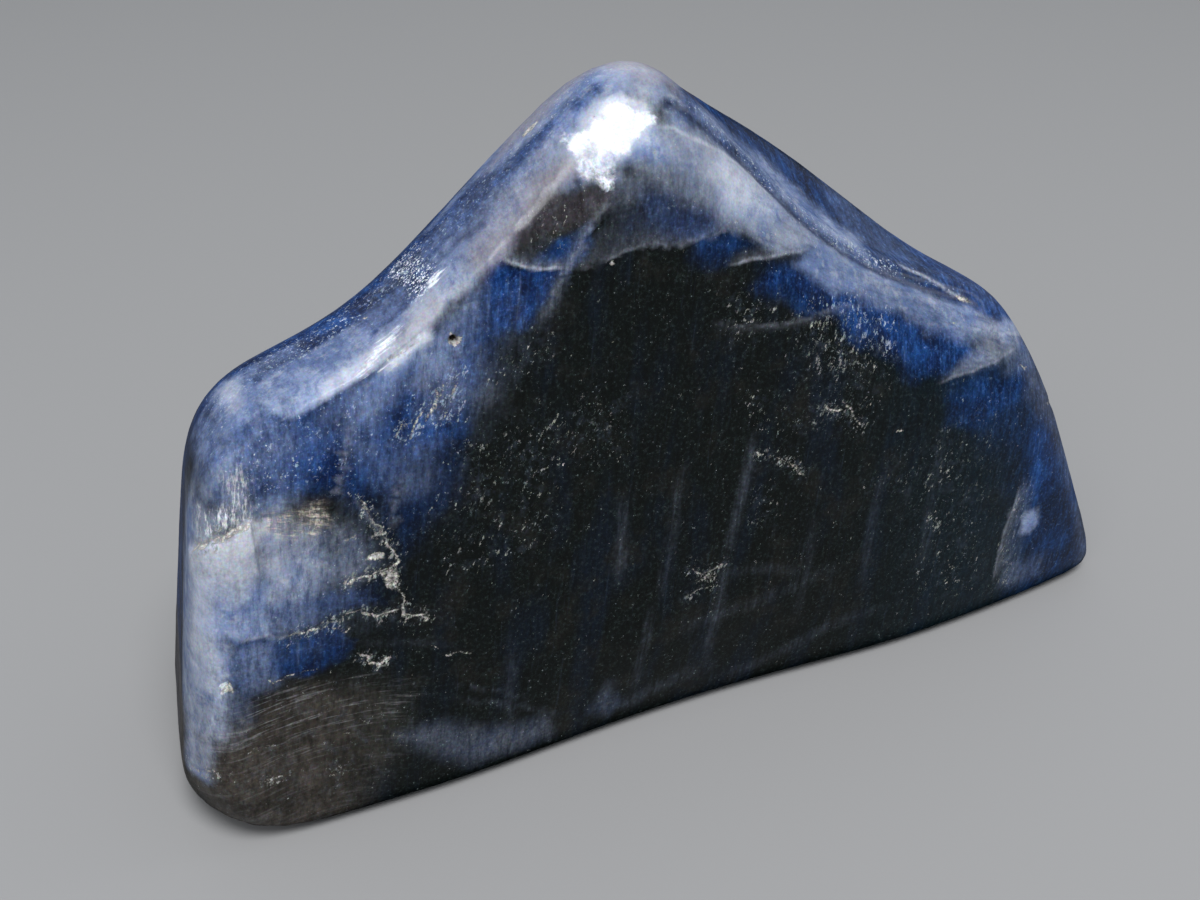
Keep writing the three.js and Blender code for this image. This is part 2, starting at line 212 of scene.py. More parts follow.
TOP_MILKY = [
    ([(5.2, 1), (5, 2.6), (4.9, 3.8), (6, 4.3), (10.8, 4.4), (10.9, 3.4), (11.2, 2.2), (13.2, 2.4),
      (15.5, 3.2), (18.4, 2.6), (22, 2.6), (22, 1.5), (18.8, 1.1), (17, 0.4), (14, 0.1), (9, 0),
      (6.4, 0)], 0.58, 0.25),
    ([(6.4, 0.2), (6.6, 1.5), (9, 1.8), (12.4, 1.6), (15, 1.3), (17, 1.2), (17, 0), (9, -0.2)], 0.42, 0.4),
    ([(5, 4.4), (7.8, 4.4), (8, 6.2), (5.2, 6.2)], 0.32, 0.5),
    ([(1.2, 1.4), (3.4, 0.4), (2.8, 2.6), (2.8, 6.2), (1.2, 6.2)], 0.34, 0.5),
    ([(12, 4.9), (20, 4.9), (20, 6.4), (12, 6.4)], 0.14, 0.6),
    ([(30.2, 3.6), (35, 3.4), (35.4, 6.2), (31, 6.4)], 0.38, 0.5),
    ([(14.4, 2.4), (14.6, 4.2), (20, 4), (22, 3), (20, 2.2)], 0.34, 0.5),
    ([(14, 3.8), (14, 5.4), (19, 5.2), (20, 4.8), (20, 3.6)], 0.14, 0.5),
    ([(10.9, 2.4), (13.6, 2.6), (13.6, 4.6), (11, 4.6)], 0.24, 0.4),
    ([(3.1, 1.6), (3.2, 6), (3.5, 7.2), (4.3, 7), (4.9, 5.8), (5, 4), (4.9, 1.6)], 0.62, 0.4),
    ([(19, 5.9), (20.6, 5.2), (23.4, 4.9), (25, 4.4), (26, 4), (28, 3.6), (30, 5), (29, 10),
      (19, 10)], 0.7, 0.5),
    ([(3, 1.4), (2.8, 3), (3.2, 6), (4, 5.6), (4.8, 2.4), (5.4, 1.5), (5.6, 0.8), (4.4, 0.6)], 0.26, 0.5),
    ([(22, 4.6), (22.2, 3.4), (22.8, 3.2), (22.9, 4.8)], 0.5, 0.25),
    ([(23.3, 3.2), (23.3, 5), (24, 5), (23.9, 3.2)], 0.4, 0.2),
    ([(24.3, 3.2), (26, 3.2), (27, 2.6), (28.2, 3), (27.4, 4.2), (25.2, 5.2), (24.3, 5)], 0.6, 0.3),
    ([(26.4, 1.5), (26.6, 2.3), (28.4, 2.2), (28.4, 1.4)], 0.4, 0.3),
    ([(28, 2.6), (31, 2.8), (31.4, 3.8), (28.4, 4)], 0.3, 0.4),
    ([(25, 5), (27, 4.4), (28, 7), (26.4, 8.4), (25, 7)], 0.4, 0.6),
    ([(27.6, 1.1), (29, 2.4), (35, 2.6), (44, 2.7), (49, 2.6), (52.4, 1.4), (51, 0.9), (44, 1.4),
      (37, 1.5)], 0.55, 0.3),
    ([(35, 3.4), (41.3, 3.2), (41.9, 5.4), (35.4, 6.4)], 0.64, 0.6),
    ([(42, 3.6), (49, 3.2), (54, 3), (54, 9), (40, 9)], 0.1, 0.9),
]
# Brighter milky places on the top, with painted highlights on the upper left edge and under the summit.
TOP_GLOW_AND_HIGHLIGHT = [
    ([(7.6, 0.2), (8, 1.2), (9, 1.5), (11.4, 1.5), (12, 0.8), (14, 0.4), (10, 0)], 0.75, 0.4),
    ([(12, 0.4), (12.8, 1.6), (13.4, 2.6), (14.6, 2.4), (14.8, 1), (14.2, 0.5)], 0.55, 0.35),
    ([(24.6, 3.6), (25, 6), (27, 8), (28, 5), (27, 3.4)], 0.4, 0.6),
    ([(22.6, 3), (23, 2.4), (23.4, 1.9), (27, 2), (26.6, 3.2), (24.6, 3.2)], 1, 0.3),
    ([(3.5, 2.6), (3.6, 6.4), (4.2, 6.4), (4.4, 2.8)], 0.5, 0.3),
    ([(27.4, 1.5), (29, 2.3), (33.6, 2.4), (34.4, 1.6), (30, 1.2)], 0.45, 0.4),
]
# Over the top, the ends and the back: (start, end, radius, strength), the ends being X, Y, Z points.
ROUND_ROYAL = [
    ((2, 14, 24), (26, 13, 37), 6.5, 0.8),
    ((28, 13, 36), (56, 12, 18), 7, 0.75),
    ((56, 6, 17), (62, 8, 2), 7, 0.62),
    ((-1, 12, 3), (1, 12, 22), 9, 0.6),
    ((3, 21, 17), (12, 21, 21), 6, 0.65),
    ((40, 21, 20), (56, 20, 8), 7, 0.6),
]
ROUND_MILKY = [
    ((-1.6, 1.6, 10.4), (-0.6, 2, 19), 4.6, 0.66),
    ((6, 10, 27), (9, 11, 27.6), 3, 0.4),
    ((24, 12, 36), (27, 15, 35), 4, 0.35),
    ((58, 8, 12), (61, 12, 5), 3, 0.22),
    ((-0.4, 1, 18), (1.4, 1.6, 23), 2.2, 0.26),
    # A pale rim along the back edge of the left slope: painted light coming through the thin edge.
    ((15, 7.8, 31.6), (25.6, 7.2, 39.6), 1, 0.45),
]

# Planes inside the stone meet its face in pale veils with one clear edge, and along the lip of the right
# slope one such line is a painted
# highlight: (X, Z points, how far it fades to the left of the way along, or to the right where less than 0,
# strength).
VEILS_AND_HIGHLIGHT = [
    ([(17.3, 32.5), (18, 32.1), (18.6, 31.75), (19.3, 31.5), (20.3, 31.4), (21, 31.15)], 0.7, 0.85),
    ([(20.6, 31.15), (22, 31.15), (23, 31.3), (24, 31.6), (25, 31.68), (26, 31.55), (27.5, 31.35),
      (30, 31.6), (31.8, 31.2)], 1.1, 0.26),
    ([(19.4, 28.6), (19.8, 29.4), (20.2, 30.2), (21.1, 31.3), (21.8, 32.3), (22.7, 33.5),
      (23.9, 35)], 1, 0.2),
    ([(28.8, 26.8), (31, 26), (34, 25.6), (38, 25.4), (41, 24.6)], -0.5, 0.2),
    ([(30, 29.75), (32.2, 29.6), (33.4, 29.45), (35, 29.15), (36.8, 28.9)], 0.8, 0.42),
    ([(25.4, 37.4), (27.5, 37.2), (29, 36.2), (31, 35), (33, 33.2), (34.6, 31.4)], -0.5, 0.85),
    ([(44.6, 19.22), (48, 19.2), (52.6, 19.25)], 0.6, 0.35),
    # A painted highlight along the lip of the right slope.
    ([(50.5, 20.5), (52, 19.9), (53.2, 19.4), (54.6, 18.4)], 0.4, 0.5),
    ([(52.3, 10.4), (52, 8.5), (51.4, 6.6), (51.25, 4.6), (51, 2.6)], 0.9, 0.42),
    ([(7.5, 20), (7.7, 21.5), (8.1, 23), (8.6, 24.4), (9, 25.8)], -0.55, 0.3),
    ([(10.9, 21.6), (10.7, 20.6), (10.55, 19.6), (10.4, 18.6)], -0.3, 0.18),
    ([(3.4, 21), (3.3, 19.6), (3.2, 17.8)], 0.5, 0.3),
    ([(1.6, 14.3), (2.4, 14.42), (3.3, 14.4), (3.8, 14.1), (4.6, 13.92)], 0.35, 0.35),
    ([(8.6, 21.4), (8.9, 20.6), (9.3, 19.6), (9.8, 18.8), (10.2, 18)], 0.3, 0.16),
]
# Silk: soft pale threads and wisps inside the stone: (X, Z points, width, strength).
SILK = [
    ([(18.6, 27.6), (19.4, 28.8), (20.4, 30.3), (21.2, 31.5), (21.9, 32.7), (22.9, 34),
      (24.2, 35.6)], 0.5, 0.44),
    ([(32.1, 20), (31.6, 17.5), (31.2, 15.5), (30.7, 13), (30.2, 10.8)], 0.5, 0.24),
    ([(30.3, 12), (29.9, 9), (29.6, 6.5), (29.3, 2.6)], 0.5, 0.2),
    ([(23.7, 18), (23.5, 14.6), (23.2, 11)], 0.5, 0.24),
    ([(27.4, 19), (26.6, 13.5), (25.6, 9)], 0.5, 0.14),
    ([(25.4, 10), (24.6, 5), (24.3, 2.6)], 0.45, 0.17),
    ([(16.6, 11), (16.4, 7), (16.2, 2)], 0.5, 0.13),
    ([(36.4, 13), (35.8, 8), (35.4, 4)], 0.6, 0.1),
    ([(41, 15), (40.4, 10), (40, 5)], 0.6, 0.1),
    ([(45.6, 17), (45, 11), (44.4, 5)], 0.6, 0.1),
    ([(21.6, 2), (24, 2.2), (27, 3), (31, 3.2)], 0.8, 0.14),
    ([(29.6, 1.7), (33, 2.1), (35.5, 2.8), (38, 3.6), (43, 4.2)], 0.7, 0.12),
    ([(25, 6.4), (29, 7.2), (33, 7.4), (36, 8), (40, 8.5)], 0.8, 0.08),
    ([(29.4, 10.4), (32.4, 9.9), (36.6, 8.4)], 0.6, 0.09),
    ([(12, 7.4), (14.4, 6.2), (16.6, 5), (18.6, 3.8), (21, 2.8)], 0.28, 0.14),
    ([(12.6, 8.1), (15.4, 6.6), (18, 4.9)], 0.2, 0.14),
    ([(6.4, 12.6), (8.6, 12.2), (11, 11.4), (14, 10)], 0.4, 0.08),
    ([(15.6, 26), (15.9, 28), (16.1, 31)], 0.5, 0.16),
    ([(17.6, 27.5), (18, 29.4), (18.4, 31.4)], 0.35, 0.16),
    ([(12.8, 27), (12.4, 25), (12, 23)], 0.5, 0.14),
    ([(10.2, 27.4), (9.9, 25.6), (9.6, 23)], 0.4, 0.18),
    ([(6.6, 26), (6.4, 24.4), (6.2, 22.6)], 0.3, 0.14),
]
# Open cracks with whitish edges: (X, Z points, width, strength).
CRACKS = [
    ([(4.2, 13.9), (5.3, 13.95), (6.1, 14.05), (6.5, 14.15), (7.1, 14.05), (7.3, 14.3),
      (8.2, 14.4)], 0.26, 0.86),
    ([(8.4, 14.15), (8.8, 14), (9.1, 13.7), (9.6, 13.75), (10.2, 13.75)], 0.3, 1),
    ([(10.6, 13.9), (10.5, 13.4), (10.9, 13.25), (11.4, 13.15), (11.5, 12.9), (11.75, 12.85),
      (11.6, 12.6)], 0.28, 0.98),
    ([(11.7, 13.6), (11.6, 13)], 0.22, 0.85),
    ([(6.5, 13.7), (7, 13.6), (7.2, 13.3), (7.45, 13.45)], 0.24, 0.84),
    ([(3, 11.5), (3.15, 11.2), (3.5, 11.25), (3.9, 11.45), (4.3, 11.45)], 0.24, 0.92),
    ([(4.7, 11.4), (5.5, 11.4)], 0.2, 0.8),
    ([(8, 11.5), (8.3, 11.3), (8.4, 10.85), (8.9, 10.7), (9.3, 10.8), (9.55, 10.9)], 0.3, 1),
    ([(12.5, 10.1), (12.8, 10), (13.4, 10), (14.2, 9.7)], 0.22, 0.88),
    ([(11.8, 10.9), (12.4, 10.5)], 0.18, 0.8),
    ([(7.7, 16.35), (8.7, 16.5), (9.3, 16.4), (9.9, 16.5), (10.4, 16.7), (10.3, 17.6),
      (10, 18.2)], 0.28, 0.98),
    ([(10, 15.9), (10.1, 15.4), (10.35, 15.1), (10.5, 14.7), (10.7, 14.2)], 0.24, 0.86),
    ([(9.3, 19.4), (9.5, 18.9), (9.9, 18.7)], 0.22, 0.8),
    ([(7.8, 18.9), (8.2, 18.95), (8.6, 19.1)], 0.2, 0.86),
    ([(8.9, 20.9), (9.3, 19.9), (9.7, 19.2), (10, 18.4), (10.2, 17.8)], 0.28, 0.9),
    ([(-0.78, 15.5), (-0.62, 14.9), (-0.45, 14.4)], 0.24, 0.95),
    ([(0.45, 19.2), (0.8, 19.8), (1.3, 20.2), (2, 20.7), (2.6, 20.95), (3.2, 21.2)], 0.34, 1),
    ([(4.1, 21.2), (5, 21), (5.6, 20.6), (6.2, 20.1), (6.7, 19.5)], 0.24, 0.74),
    ([(36.6, 19.9), (36.9, 19.5), (37.3, 19.4), (37.8, 19.3)], 0.34, 0.95),
    ([(38.1, 19.5), (38.5, 19.2), (38.7, 18.5), (39.3, 18)], 0.34, 0.86),
    ([(32.1, 17.9), (32.3, 17.65), (32.6, 17.6)], 0.26, 0.95),
    ([(33.5, 17.3), (34.1, 16.9), (34.6, 16.5), (35.3, 15.7)], 0.44, 0.78),
    ([(28, 11.2), (28.6, 10.6), (29.2, 10.6), (30, 10.9)], 0.3, 0.86),
    ([(27.9, 9.35), (28.6, 9.6), (29.5, 9.7)], 0.26, 0.8),
    ([(2, 5), (2.3, 4.9), (2.7, 4.95)], 0.3, 1),
    ([(5.9, 4.5), (6.1, 4.1), (6.4, 3.9)], 0.26, 0.85),
    ([(0.3, 7.6), (0.8, 7.8), (1.4, 7.85)], 0.2, 0.75),
    ([(1.2, 7), (1.6, 7.35), (2, 7.3), (2.8, 7.2)], 0.22, 0.8),
    ([(6.5, 6.7), (6.8, 6.6)], 0.24, 0.86),
    ([(7.4, 7.4), (7.8, 7), (8.1, 6.8)], 0.18, 0.78),
    ([(0, 5.6), (0.4, 6.2), (1.2, 6.5)], 0.2, 0.7),
    ([(-1.5, 4.9), (-1.1, 5.2), (-0.6, 5.6)], 0.26, 0.9),
    ([(6.08, 1.3), (6.15, 0.7), (6.3, 0.3)], 0.24, 0.8),
    ([(41.8, 16.9), (42.4, 16.8)], 0.24, 0.86),
    ([(45, 10), (45.4, 9.6), (45.7, 9.1)], 0.3, 0.7),
    ([(55, 14.8), (55.6, 14.5), (56.2, 13.9), (56.6, 13.3)], 0.24, 0.8),
    ([(11.2, 24), (11.5, 24.6)], 0.26, 0.9),
    ([(11.9, 23.9), (12.5, 24.9), (12.6, 25.3)], 0.28, 0.95),
    ([(12.8, 24.6), (13.3, 25.5), (13.4, 26.1)], 0.28, 0.95),
    ([(13.3, 25.2), (13.9, 26.4)], 0.24, 0.86),
    ([(14.1, 25.3), (14.7, 26.6)], 0.24, 0.86),
    ([(13.5, 24.2), (14, 24.9)], 0.2, 0.8),
    ([(20.2, 32.9), (20.7, 33.6)], 0.16, 0.8),
    ([(20.9, 33.3), (21.2, 33.8)], 0.14, 0.76),
    ([(11.2, 28.2), (11.8, 28.5), (12.6, 28.7)], 0.26, 0.8),
]
# Painted highlights: under the summit and on the upper left edge the stone is painted white where it shines.
FRONT_PAINTED_HIGHLIGHT = [
    ([(21.6, 36.8), (22.6, 37.4), (23.6, 37.9), (24.8, 38.5), (25.4, 38.3), (26.8, 38), (26.6, 37.4),
      (25.9, 37.3), (25.3, 36.9), (25, 36.3), (24.2, 36.6), (23.4, 36.4), (22.8, 36.9),
      (22.2, 36.6)], 1, 0.4),
    ([(22, 36.5), (24.3, 36.6), (24.3, 35.7), (23.7, 34.8), (22.9, 34.7), (22.6, 35.3),
      (22, 35.7)], 0.6, 0.4),
    ([(0.4, 11.1), (0.55, 11.7), (0.85, 12), (1.15, 11.5), (1, 11.2)], 1, 0.15),
    ([(10.4, 27.6), (11.6, 28.5), (13, 29.2), (13.2, 28.6), (12, 27.8), (11, 27.3)], 0.45, 0.35),
]
TOP_PAINTED_HIGHLIGHT = [
    ([(9, 0.6), (9.6, 1), (10.8, 1.4), (12.2, 1.5), (11.8, 0.8), (9.8, 0.4)], 0.62, 0.4),
    ([(14, 2.2), (14.7, 3), (14.9, 2.6), (14.5, 2)], 0.9, 0.25),
]
# Broken, whitened places, and a painted highlight below the summit: (outline of X, Z points, strength,
# blur).
BROKEN_AND_HIGHLIGHT = [
    # A painted highlight below the summit's white patch.
    ([(22.5, 36), (23, 35.9), (23.9, 35.4), (23.2, 35.1), (22.7, 35.3)], 0.72, 0.3),
    ([(8.7, 17.5), (9, 17.8), (9.6, 17.8), (9.9, 17.5), (9.8, 17), (9.2, 17.15)], 1, 0.2),
    ([(9.2, 18.4), (9.5, 18.7), (9.8, 18.5), (9.5, 18.3)], 0.8, 0.15),
    ([(0.35, 11), (0.55, 11.6), (0.85, 12.1), (1.2, 11.4), (0.9, 11.1)], 1, 0.2),
    ([(0.4, 12.2), (0.7, 12.9), (0.9, 12.5)], 0.6, 0.2),
    ([(9.6, 15.2), (9.4, 16.2), (10.8, 16.4), (11, 15), (10.4, 14.6)], 0.5, 0.4),
    ([(27.9, 10.1), (28.5, 10.6), (29.6, 10.6), (29.9, 10.2), (29.2, 9.8)], 0.72, 0.3),
    ([(9.2, 16.4), (10.4, 16.9), (10.5, 15.8), (10.3, 15.1), (9.9, 15.3)], 0.78, 0.25),
    ([(52, 18.3), (52.5, 18.2), (53, 17.8), (52.6, 17.75)], 1, 0.2),
    ([(46.8, 22.2), (47.2, 22.1), (47.4, 21.9), (46.9, 21.9)], 0.95, 0.15),
    ([(24.2, 31.55), (24.5, 31.85), (24.9, 31.75), (24.7, 31.5)], 0.62, 0.2),
    ([(23.25, 31.1), (23.45, 31.3), (23.65, 31.1), (23.45, 30.9)], 1, 0.08),
    ([(47.6, 16.3), (48.6, 16.3), (48.9, 15.8), (48.2, 15.5)], 0.62, 0.5),
    ([(26, 36.5), (26.3, 36.7), (26.7, 36), (26.4, 35.9)], 0.72, 0.2),
    ([(-0.3, 5.4), (0.2, 6), (0.5, 5.8), (0, 5.2)], 0.66, 0.2),
    ([(32, 14.6), (32.4, 13.9), (32.6, 13.4), (32.2, 13.5)], 0.72, 0.25),
    ([(31.6, 21.6), (32.4, 20.6), (32.5, 20), (31.9, 20.2), (31.2, 21.4)], 0.58, 0.4),
    ([(11.3, 24.2), (11.6, 24.7), (12.2, 24.8), (11.9, 24.2)], 0.72, 0.25),
    ([(35.2, 25), (36.2, 25.1), (36.5, 24.8), (35.4, 24.7)], 0.7, 0.25),
    ([(35.9, 23.6), (36.3, 23.4), (36.2, 22.7), (35.9, 22.9)], 0.7, 0.2),
    ([(14.5, 29.15), (15.05, 28.9), (15.05, 28.4), (14.6, 28.2), (14.15, 28.5), (14.15, 28.95)], 1, 0.15),
]
# Places thick with small pale flecks: (outline of X, Z points, strength, blur).
FLECKED = [
    ([(34.4, 26.4), (39, 26.6), (43, 23), (42, 20.4), (37, 20.8), (34.8, 22)], 0.86, 1.4),
    ([(30, 28.6), (34, 27.4), (33.4, 25), (30.2, 25)], 0.75, 0.8),
    ([(34, 21), (40, 20.4), (40, 17.6), (34, 18.4)], 0.6, 1.4),
    ([(31, 22), (32.8, 21.8), (32.6, 19.2), (31.6, 19.2)], 0.7, 0.5),
    ([(31.4, 16), (33.2, 16), (33.1, 12.6), (31.8, 12.6)], 0.6, 0.5),
    ([(14, 23), (24, 24), (24, 20), (13, 19)], 0.62, 1.4),
    ([(12.6, 20), (20, 20), (19, 14.6), (13.4, 15)], 0.5, 1.6),
    ([(16, 28), (20, 29), (20, 26), (16, 25)], 0.5, 1.2),
    ([(11, 24.2), (12.8, 23.9), (14.8, 24.1), (15.4, 26.9), (13.4, 26.9), (12.4, 25.6),
      (11.4, 24.9)], 1, 0.5),
    ([(2, 24.4), (5, 25.6), (10, 26.6), (10, 22), (2, 22)], 0.42, 1.2),
    ([(3.8, 24.6), (6, 24.4), (5.6, 22.8), (3.8, 23)], 0.45, 0.6),
    ([(8, 19.4), (10.4, 20), (10.6, 15), (8, 16.6)], 0.6, 0.6),
    ([(4, 6), (9, 9), (12, 8), (12, 4), (6, 2)], 0.28, 1.5),
    ([(18.4, 34.4), (22.5, 34.6), (22, 32.4), (19, 32)], 0.5, 0.5),
    ([(30, 35), (34.4, 31.8), (33, 30.4), (30, 32)], 0.4, 0.6),
    ([(26, 34), (29, 34), (29, 31.8), (26, 31.8)], 0.3, 0.8),
    ([(44, 16), (50, 17), (50, 3), (44, 3)], 0.5, 2),
    ([(40, 15), (46, 15), (46, 12), (40, 12)], 0.5, 1.5),
    ([(51, 2), (52.6, 2.4), (53.4, 10.6), (52, 10.6)], 0.8, 0.5),
]
# Places that glitter with pin-points, painted pale as glints.
FRONT_SPARKLING = [
    ([(2, 24.8), (6, 26.8), (11, 28), (13, 26), (8, 22), (2, 22)], 0.35, 1),
    ([(30, 35.6), (34.4, 31.9), (38, 29), (37, 28), (33, 29), (30, 32.4)], 0.3, 0.6),
    ([(0, 21), (3, 21.4), (8.6, 20), (9, 16), (0, 14)], 0.3, 0.8),
]
TOP_SPARKLING = [
    ([(2, 1), (4, 3.2), (6, 4.6), (13.3, 4.8), (16, 4.4), (26, 5), (26, 8), (3, 8)], 0.42, 0.6),
    ([(13.3, 2), (15, 2), (15, 7.4), (13.3, 7.4)], 1, 0.4),
    ([(2, -1), (5, -1), (5, 6.6), (3, 7)], 0.25, 0.4),
    ([(27, 2.8), (34, 3), (44, 2.9), (48, 3), (44, 4.2), (34, 4.6)], 0.6, 0.4),
    ([(5, 2.4), (13, 2.4), (13, 5), (5, 5)], 0.2, 0.6),
]
# Warm, brownish grey places.
FRONT_WARM = [
    ([(16.2, 31), (17.6, 32.2), (19, 33.4), (20.4, 34.8), (22.8, 35.8), (23.2, 36.8), (21.6, 36.4),
      (18.4, 34), (16.2, 32.4)], 0.8, 0.4),
    ([(10, 28), (12.6, 29), (14.6, 30.4), (14.2, 31), (12, 29.6), (10, 28.6)], 0.5, 0.3),
    ([(18.2, 33), (20.4, 34.8), (24.2, 35), (22.4, 33.4), (20.2, 33.2)], 0.5, 0.4),
    ([(5.4, 21.2), (5.8, 21.8), (7.4, 21.7), (7.2, 21.1)], 0.35, 0.3),
]
TOP_WARM = [
    ([(19, 6.6), (22, 9.6), (32, 9.6), (31, 5.6), (27.6, 4.8), (26, 6.2), (22, 5.8)], 0.85, 0.8),
    ([(25.3, 4.8), (26.2, 3.5), (28.4, 3.2), (29.6, 5), (27, 7), (25.4, 6.4)], 0.75, 0.4),
]
# Places where pale haze hangs over the blue.
FRONT_HAZY = [
    ([(8.4, 23.6), (9.8, 27), (11, 27), (10.6, 24.4), (9.6, 22.6)], 0.42, 0.7),
    ([(12, 25), (12, 28), (17, 31), (19, 30.6), (18.4, 27), (15.6, 23.4)], 0.22, 1.2),
    ([(3, 24.6), (9.6, 26.8), (9.4, 24), (3.4, 23)], 0.08, 1),
    ([(3.6, 22.3), (6, 22.4), (6, 21.2), (3.6, 21)], 0.9, 0.4),
    ([(8.6, 21), (9.6, 20), (9.6, 16.6), (8.4, 16.6), (8, 19)], 0.3, 0.4),
    ([(1, 16), (9, 16), (9, 13), (1, 12)], 0.2, 0.6),
    ([(51.4, 2.4), (52.6, 2.4), (53.4, 10.4), (52.4, 10.4)], 0.5, 0.5),
]
# Streaked places, where fine ledges follow the growth layers and short bright dashes on them are painted
# highlights.
STREAKED = [
    ([(0.6, 20.3), (3.3, 21.4), (3.3, 22), (2.4, 22.4), (0.9, 21.8)], 0.9, 0.3),
    ([(2.3, 22), (3.3, 22), (3.5, 23), (3.3, 24.3), (2.8, 23.8), (2.5, 24.2), (2.4, 23)], 0.9, 0.35),
    ([(3.9, 21.3), (5, 21.3), (7, 21.2), (7.2, 20.3), (6.4, 19.4), (5.4, 19.7), (4, 20.3)], 0.9, 0.3),
]
# Over the top, as seen from above: (outline of X, Y points, strength, blur).
TOP_FLECKED = [
    ([(5, 4.2), (14, 4.2), (14, 7), (5, 7)], 0.75, 0.8),
    ([(13.3, 2.4), (14.2, 2), (14.9, 3), (14.7, 5.6), (14.9, 7.2), (13.6, 7.2), (13.2, 5)], 1, 0.4),
    ([(3, 1.5), (4.8, 1.5), (4.8, 6.6), (3, 6.6)], 0.3, 0.4),
    ([(15, 3), (26, 3.4), (26, 7), (15, 7)], 0.4, 1),
    ([(28, 3), (39, 3), (39, 5), (28, 5)], 0.45, 0.6),
    ([(38, 2.9), (43.6, 2.9), (43.6, 3.8), (40, 4.4)], 0.95, 0.4),
]
# Whitened places on the top; the first two are painted glints, at the end of the ridge of the right slope
# and near the summit.
TOP_BROKEN_AND_GLINTS = [
    ([(47.6, 2.95), (48.2, 2.6), (49.2, 2.8), (48.6, 3.1)], 1, 0.12),
    ([(20.8, 5.9), (21.4, 5.7), (22.1, 6), (21.6, 6.4), (21, 6.4)], 1, 0.15),
    ([(40, 3.4), (41, 3.6), (42, 3.1), (42.2, 2.9), (41, 3.1)], 0.72, 0.3),
    ([(14, 2.4), (14.6, 3), (14.8, 2.6), (14.4, 2)], 0.7, 0.2),
    ([(11, 4.2), (11.2, 4.6), (11.4, 4.2), (11.2, 3.8)], 0.9, 0.12),
]
TOP_VEILS_AND_GLINT = [
    ([(33, 3.4), (34.4, 5.6)], 0.5, 0.45),
    ([(35.4, 3.6), (36.8, 5.8)], 0.6, 0.4),
    ([(36.2, 3.6), (37.6, 5.8)], 0.6, 0.7),
    ([(38.2, 3.5), (39.6, 5.4)], 0.5, 0.35),
    ([(39.9, 3.6), (41.2, 5.4)], 0.4, 0.5),
    # A painted glint: a bright line along the ridge of the right slope, leading to the glint at its end.
    ([(43.4, 3.9), (45.4, 3.6), (47.4, 3.1), (48.8, 2.8), (49.6, 2.7)], 0.3, 0.75),
    ([(32.8, 0.9), (34.6, 1.6), (37.4, 2.5)], 0.6, 0.5),
]
# The groove behind the ridge of the right slope, sunk and painted dark as its shade: (X, Y points, width).
TOP_GROOVE = ([(27.4, 2.7), (34, 2.9), (42, 2.9), (49.4, 2.8)], 0.5)

# On the back: X, Z points again.
BACK_ROYAL = [
    ([(1, 20), (10, 25), (18, 31), (26, 38), (34, 33), (46, 25), (55, 17), (58, 10), (52, 13), (44, 19),
      (34, 26), (27, 30), (20, 25), (12, 20), (3, 16)], 0.85, 1.8),
    ([(2, 15), (8, 17), (12, 12), (9, 5), (3, 4)], 0.5, 1.8),
    ([(48, 12), (57, 9), (60, 2), (50, 2)], 0.5, 1.6),
    ([(26, 24), (30, 22), (29, 8), (25, 10)], 0.35, 1.4),
    ([(38, 14), (43, 15), (42, 4), (37, 5)], 0.3, 1.4),
]
BACK_MILKY = [
    ([(3, 20), (10, 24.6), (17, 30), (22, 34), (21, 31), (14, 25), (7, 20)], 0.5, 0.9),
    ([(36, 29), (44, 24.6), (52, 18.4), (50, 18), (42, 22.6), (37, 26)], 0.3, 1.2),
    ([(51, 9), (55, 13), (58, 6), (56, 2), (53, 4)], 0.22, 1.6),
    ([(8, 3), (13, 8), (17, 7), (16, 2.4)], 0.16, 1.4),
]
BACK_BROWN = [
    ([(-5, 8), (2, 8), (6, 7), (9, 3), (8, -1), (-5, -1)], 0.85, 1.4),
]
BACK_FLECKED = [
    ([(12, 10), (16, 17), (23, 25), (28, 30), (29, 27), (22, 17), (16, 9)], 0.75, 1.8),
    ([(34, 12), (41, 17), (47, 18), (44, 11), (38, 6)], 0.75, 2),
    ([(48, 8), (52, 11), (53, 4), (48, 2)], 0.5, 1.6),
]
BACK_VEILS = [
    ([(5, 19.4), (10, 22.6), (15, 25.6), (20, 30)], 0.9, 0.45),
    ([(33.6, 25), (34.2, 21), (34.4, 16), (34, 11)], -0.9, 0.26),
    ([(50, 4), (51, 8), (53, 12)], -0.8, 0.4),
]
BACK_SILK = [
    ([(24, 22), (22.8, 14), (22, 6)], 0.6, 0.3),
    ([(32.4, 14), (31.4, 8), (30.8, 3)], 0.6, 0.25),
    ([(38.6, 20), (37.6, 13), (36.8, 7)], 0.5, 0.25),
    ([(14, 16), (13, 10), (12.4, 5)], 0.5, 0.2),
    ([(46.4, 15), (45.4, 9), (45, 4)], 0.5, 0.2),
]
BACK_CRACKS = [
    ([(9, 9.4), (10.2, 9.2), (11, 9.6), (12.4, 9.4), (13, 8.8)], 0.28, 0.95),
    ([(33, 18.6), (34, 18.2), (34.8, 18.4), (35.6, 17.6)], 0.3, 0.95),
    ([(45, 9), (45.8, 8.4), (46.2, 7.4)], 0.26, 0.9),
]

# The broken block at the left, whose upper edge stands proud as a ledge: X, Z points.
LEDGE_BLOCK = [
    (-2, 17), (0.3, 18.9), (0.8, 19.8), (1.3, 20.2), (2, 20.7), (3.3, 21.2), (3.35, 18), (2.6, 14), (-2, 12),
]

# Along the upper left edge the polish has rounded the stone over more: X, Y, Z points.
SOFT_LIP = [
    (4, 0.4, 25.2), (7, 0.5, 26.7), (10, 0.6, 27.9), (13, 0.8, 29.7), (15.6, 1, 31.6), (17.4, 1.2, 32.4),
]
SOFT_LIP_REACH = 1.5

# How many rounds of smoothing the whole polish gets, and the soft lip on top of that.
POLISH_ROUNDS = 4
SOFT_LIP_ROUNDS = 45

